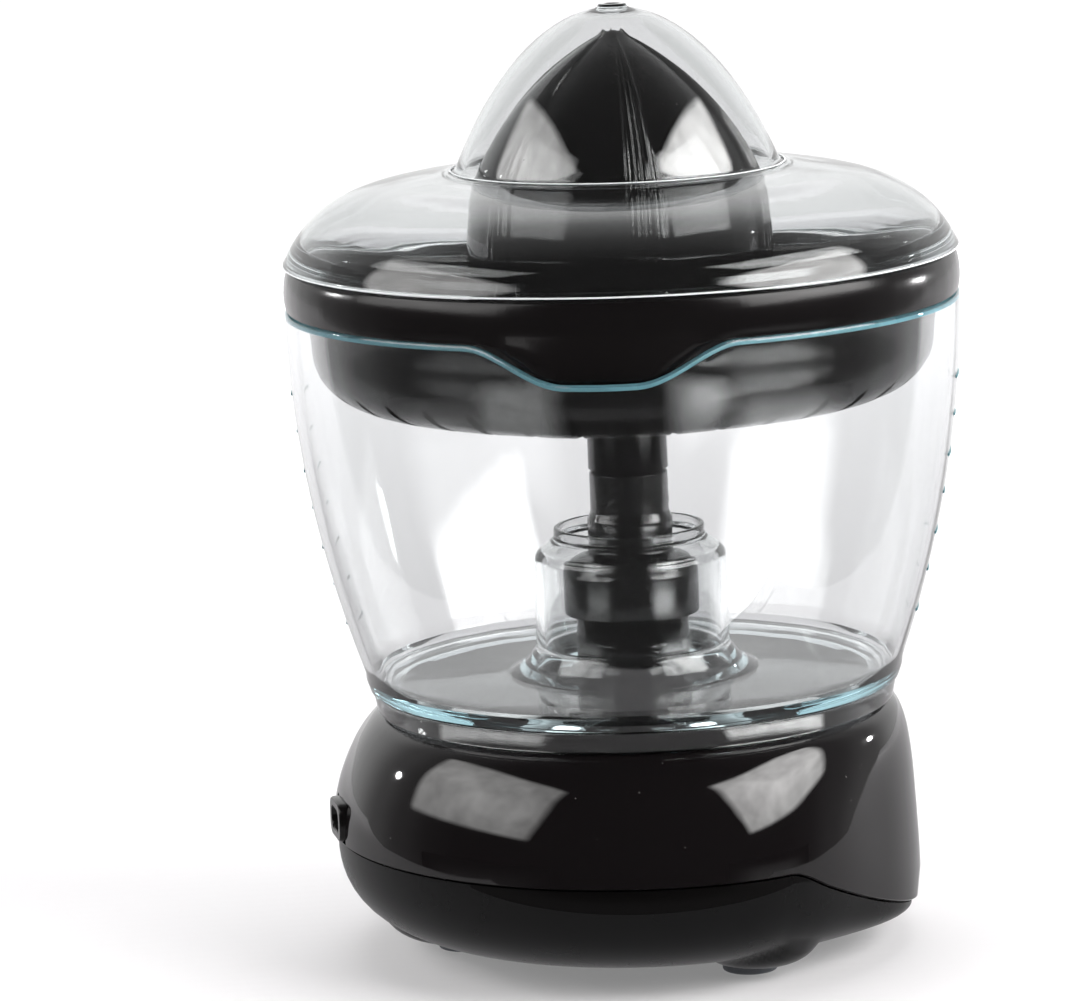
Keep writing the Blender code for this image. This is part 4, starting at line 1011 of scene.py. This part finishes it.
def softbox(name, azimuth, elevation, distance, width, height, strength):
    """Cloth-fronted studio light: a card that glows most in its middle, with faint folds.

    Width, height and distance are metres.
    """
    cloth = Look(name, (0.0, 0.0, 0.0), 1.0)
    across = cloth.stretched((2.0 / width, 2.0 / height, 1.0))
    middle = cloth.node("ShaderNodeVectorMath", Vector=across)
    middle.operation = "LENGTH"
    glow = cloth.ramp(middle.outputs["Value"], (0.0, 1.25 * strength), (1.3, 0.7 * strength))
    folds = cloth.ramp(cloth.noise(260.0, 2.0), (0.3, 0.75), (0.7, 1.25))
    outward = cloth.node("ShaderNodeVectorMath", Vector=across)
    outward.operation = "ABSOLUTE"
    parts = cloth.node("ShaderNodeSeparateXYZ", Vector=outward.outputs["Vector"])
    borders = [cloth.ramp(parts.outputs[axis], (SOFTBOX_BORDER, 1.0), (1.0, 0.0)) for axis in "XY"]
    cloth.put(cloth.shader, "Emission Color", (1.0, 0.99, 0.98, 1.0))
    cloth.put(cloth.shader, "Emission Strength", multiplied(cloth, [glow, folds] + borders))
    bm = bmesh.new()
    half_w, half_h = width / 2.0 / MM, height / 2.0 / MM
    corners = rounded([(-half_w, -half_h, 40.0), (half_w, -half_h, 40.0), (half_w, half_h, 40.0),
                       (-half_w, half_h, 40.0)], True, 5)
    bm.faces.new([bm.verts.new((u, v, 0.0)) for u, v in corners])
    card = finish_mesh(name, bm, cloth.made, None)
    card.visible_camera = False
    stand(card, azimuth, elevation, distance)


def kicker(name, azimuth, span, strength, glow_strength):
    """Upright strip below the table's edge that lights dark parts from low down.

    It fades out upwards and to both sides. Light that has come through the jug or the cover sees
    it at full strength over its whole height, other light only sees a weak glow near its top.
    """
    look = Look(name, (0.0, 0.0, 0.0), 1.0)
    look.put(look.shader, "Emission Color", (1.0, 1.0, 1.0, 1.0))
    height = look.node("ShaderNodeSeparateXYZ", Vector=look.place).outputs["Z"]
    sides = look.node("ShaderNodeAttribute")
    sides.attribute_name = "fade"
    path = look.node("ShaderNodeLightPath").outputs["Transmission Depth"]
    inside = multiplied(look, [look.ramp(height, (KICKER_FULL_Z * MM, strength), (0.0, 0.0)),
                               look.ramp(path, (0.0, 0.0), (1.0, 1.0))])
    falling = look.ramp(height, (GLOW_FULL_Z * MM, glow_strength), (GLOW_TOP * MM, 0.0))
    rising = look.ramp(height, (GLOW_BOTTOM * MM, 0.0), (GLOW_FULL_Z * MM, 1.0))
    outside = multiplied(look, [falling, rising])
    total = look.node("ShaderNodeMath")
    look.tree.links.new(inside, total.inputs[0])
    look.tree.links.new(outside, total.inputs[1])
    look.put(look.shader, "Emission Strength", multiplied(look, [total.outputs["Value"],
                                                                 sides.outputs["Fac"]]))
    bm = bmesh.new()
    edge = bm.verts.layers.float.new("fade")
    rows = []
    for i in range(33):
        share = i / 16.0 - 1.0
        x, y = heading(CAMERA_AZIMUTH + azimuth + span / 2.0 * share)
        rows.append([bm.verts.new((x * KICKER_REACH, y * KICKER_REACH, z)) for z in (KICKER_BOTTOM, 0.0)])
        for vert in rows[-1]:
            vert[edge] = smooth((1.0 - abs(share)) * 1.6)
    for a, b in zip(rows, rows[1:]):
        bm.faces.new((a[0], b[0], b[1], a[1]))
    card = finish_mesh(name, bm, look.made, None)
    card.visible_camera = card.visible_shadow = False


def bulb(name, azimuth, elevation, power, size):
    """Small round lamp a metre from the press, seen only as a highlight."""
    data = bpy.data.lights.new(name, "AREA")
    data.shape = "DISK"
    data.size = size
    data.energy = power
    lamp = bpy.data.objects.new(name, data)
    bpy.context.scene.collection.objects.link(lamp)
    stand(lamp, azimuth, elevation, 1.0)
    lamp.visible_camera = False
    return lamp


def make_lights():
    """Azimuths are from the camera's, positive to its right."""
    softbox("softbox_left", -70.0, 30.0, 1.1, 1.25, 0.74, 4.2)
    softbox("softbox_right", 67.0, 30.0, 1.1, 1.1, 0.74, 9.0)
    kicker("kicker_left", -58.0, 52.0, 2.8, 0.2)
    kicker("kicker_right", 55.0, 50.0, 11.0, 1.0)
    bulb("bulb_left", -112.0, 15.0, 1.2, 0.05)
    bulb("bulb_right", 116.0, 5.0, 1.2, 0.05)
    overhead = bulb("overhead", 180.0, 72.0, 8.0, 0.9)
    overhead.visible_glossy = overhead.visible_transmission = False


def make_camera():
    """Camera at the photograph's viewing angle."""
    yaw, pitch, roll = (math.radians(angle) for angle in CAMERA_YAW_PITCH_ROLL)
    forward = Vector((math.sin(yaw) * math.cos(pitch), math.cos(yaw) * math.cos(pitch), -math.sin(pitch)))
    right = Vector((math.cos(yaw), -math.sin(yaw), 0.0))
    up = right.cross(forward)
    right_rolled = math.cos(roll) * right + math.sin(roll) * up
    up_rolled = -math.sin(roll) * right + math.cos(roll) * up
    axes = Matrix((right_rolled, up_rolled, -forward)).transposed().to_4x4()
    data = bpy.data.cameras.new("camera")
    data.lens = CAMERA_LENS
    data.sensor_width = 36.0
    data.clip_start, data.clip_end = 0.05, 40.0
    camera = bpy.data.objects.new("camera", data)
    bpy.context.scene.collection.objects.link(camera)
    place = Matrix.Translation(Vector((0.0, -CAMERA_DISTANCE, CAMERA_HEIGHT)) * MM)
    camera.matrix_world = Matrix.Rotation(math.radians(CAMERA_AZIMUTH), 4, "Z") @ place @ axes
    bpy.context.scene.camera = camera


def main():
    dress_cad_nodes()
    make_dust_cover()
    make_large_reamer()
    make_small_reamer()
    make_strainer()
    make_jug()
    make_upper_housing()
    make_lower_housing()
    make_base_details()
    make_drive_hub()
    make_level_marks()
    make_floor()
    make_world()
    make_lights()
    make_camera()
    bpy.context.scene.view_settings.view_transform = "Standard"


main()
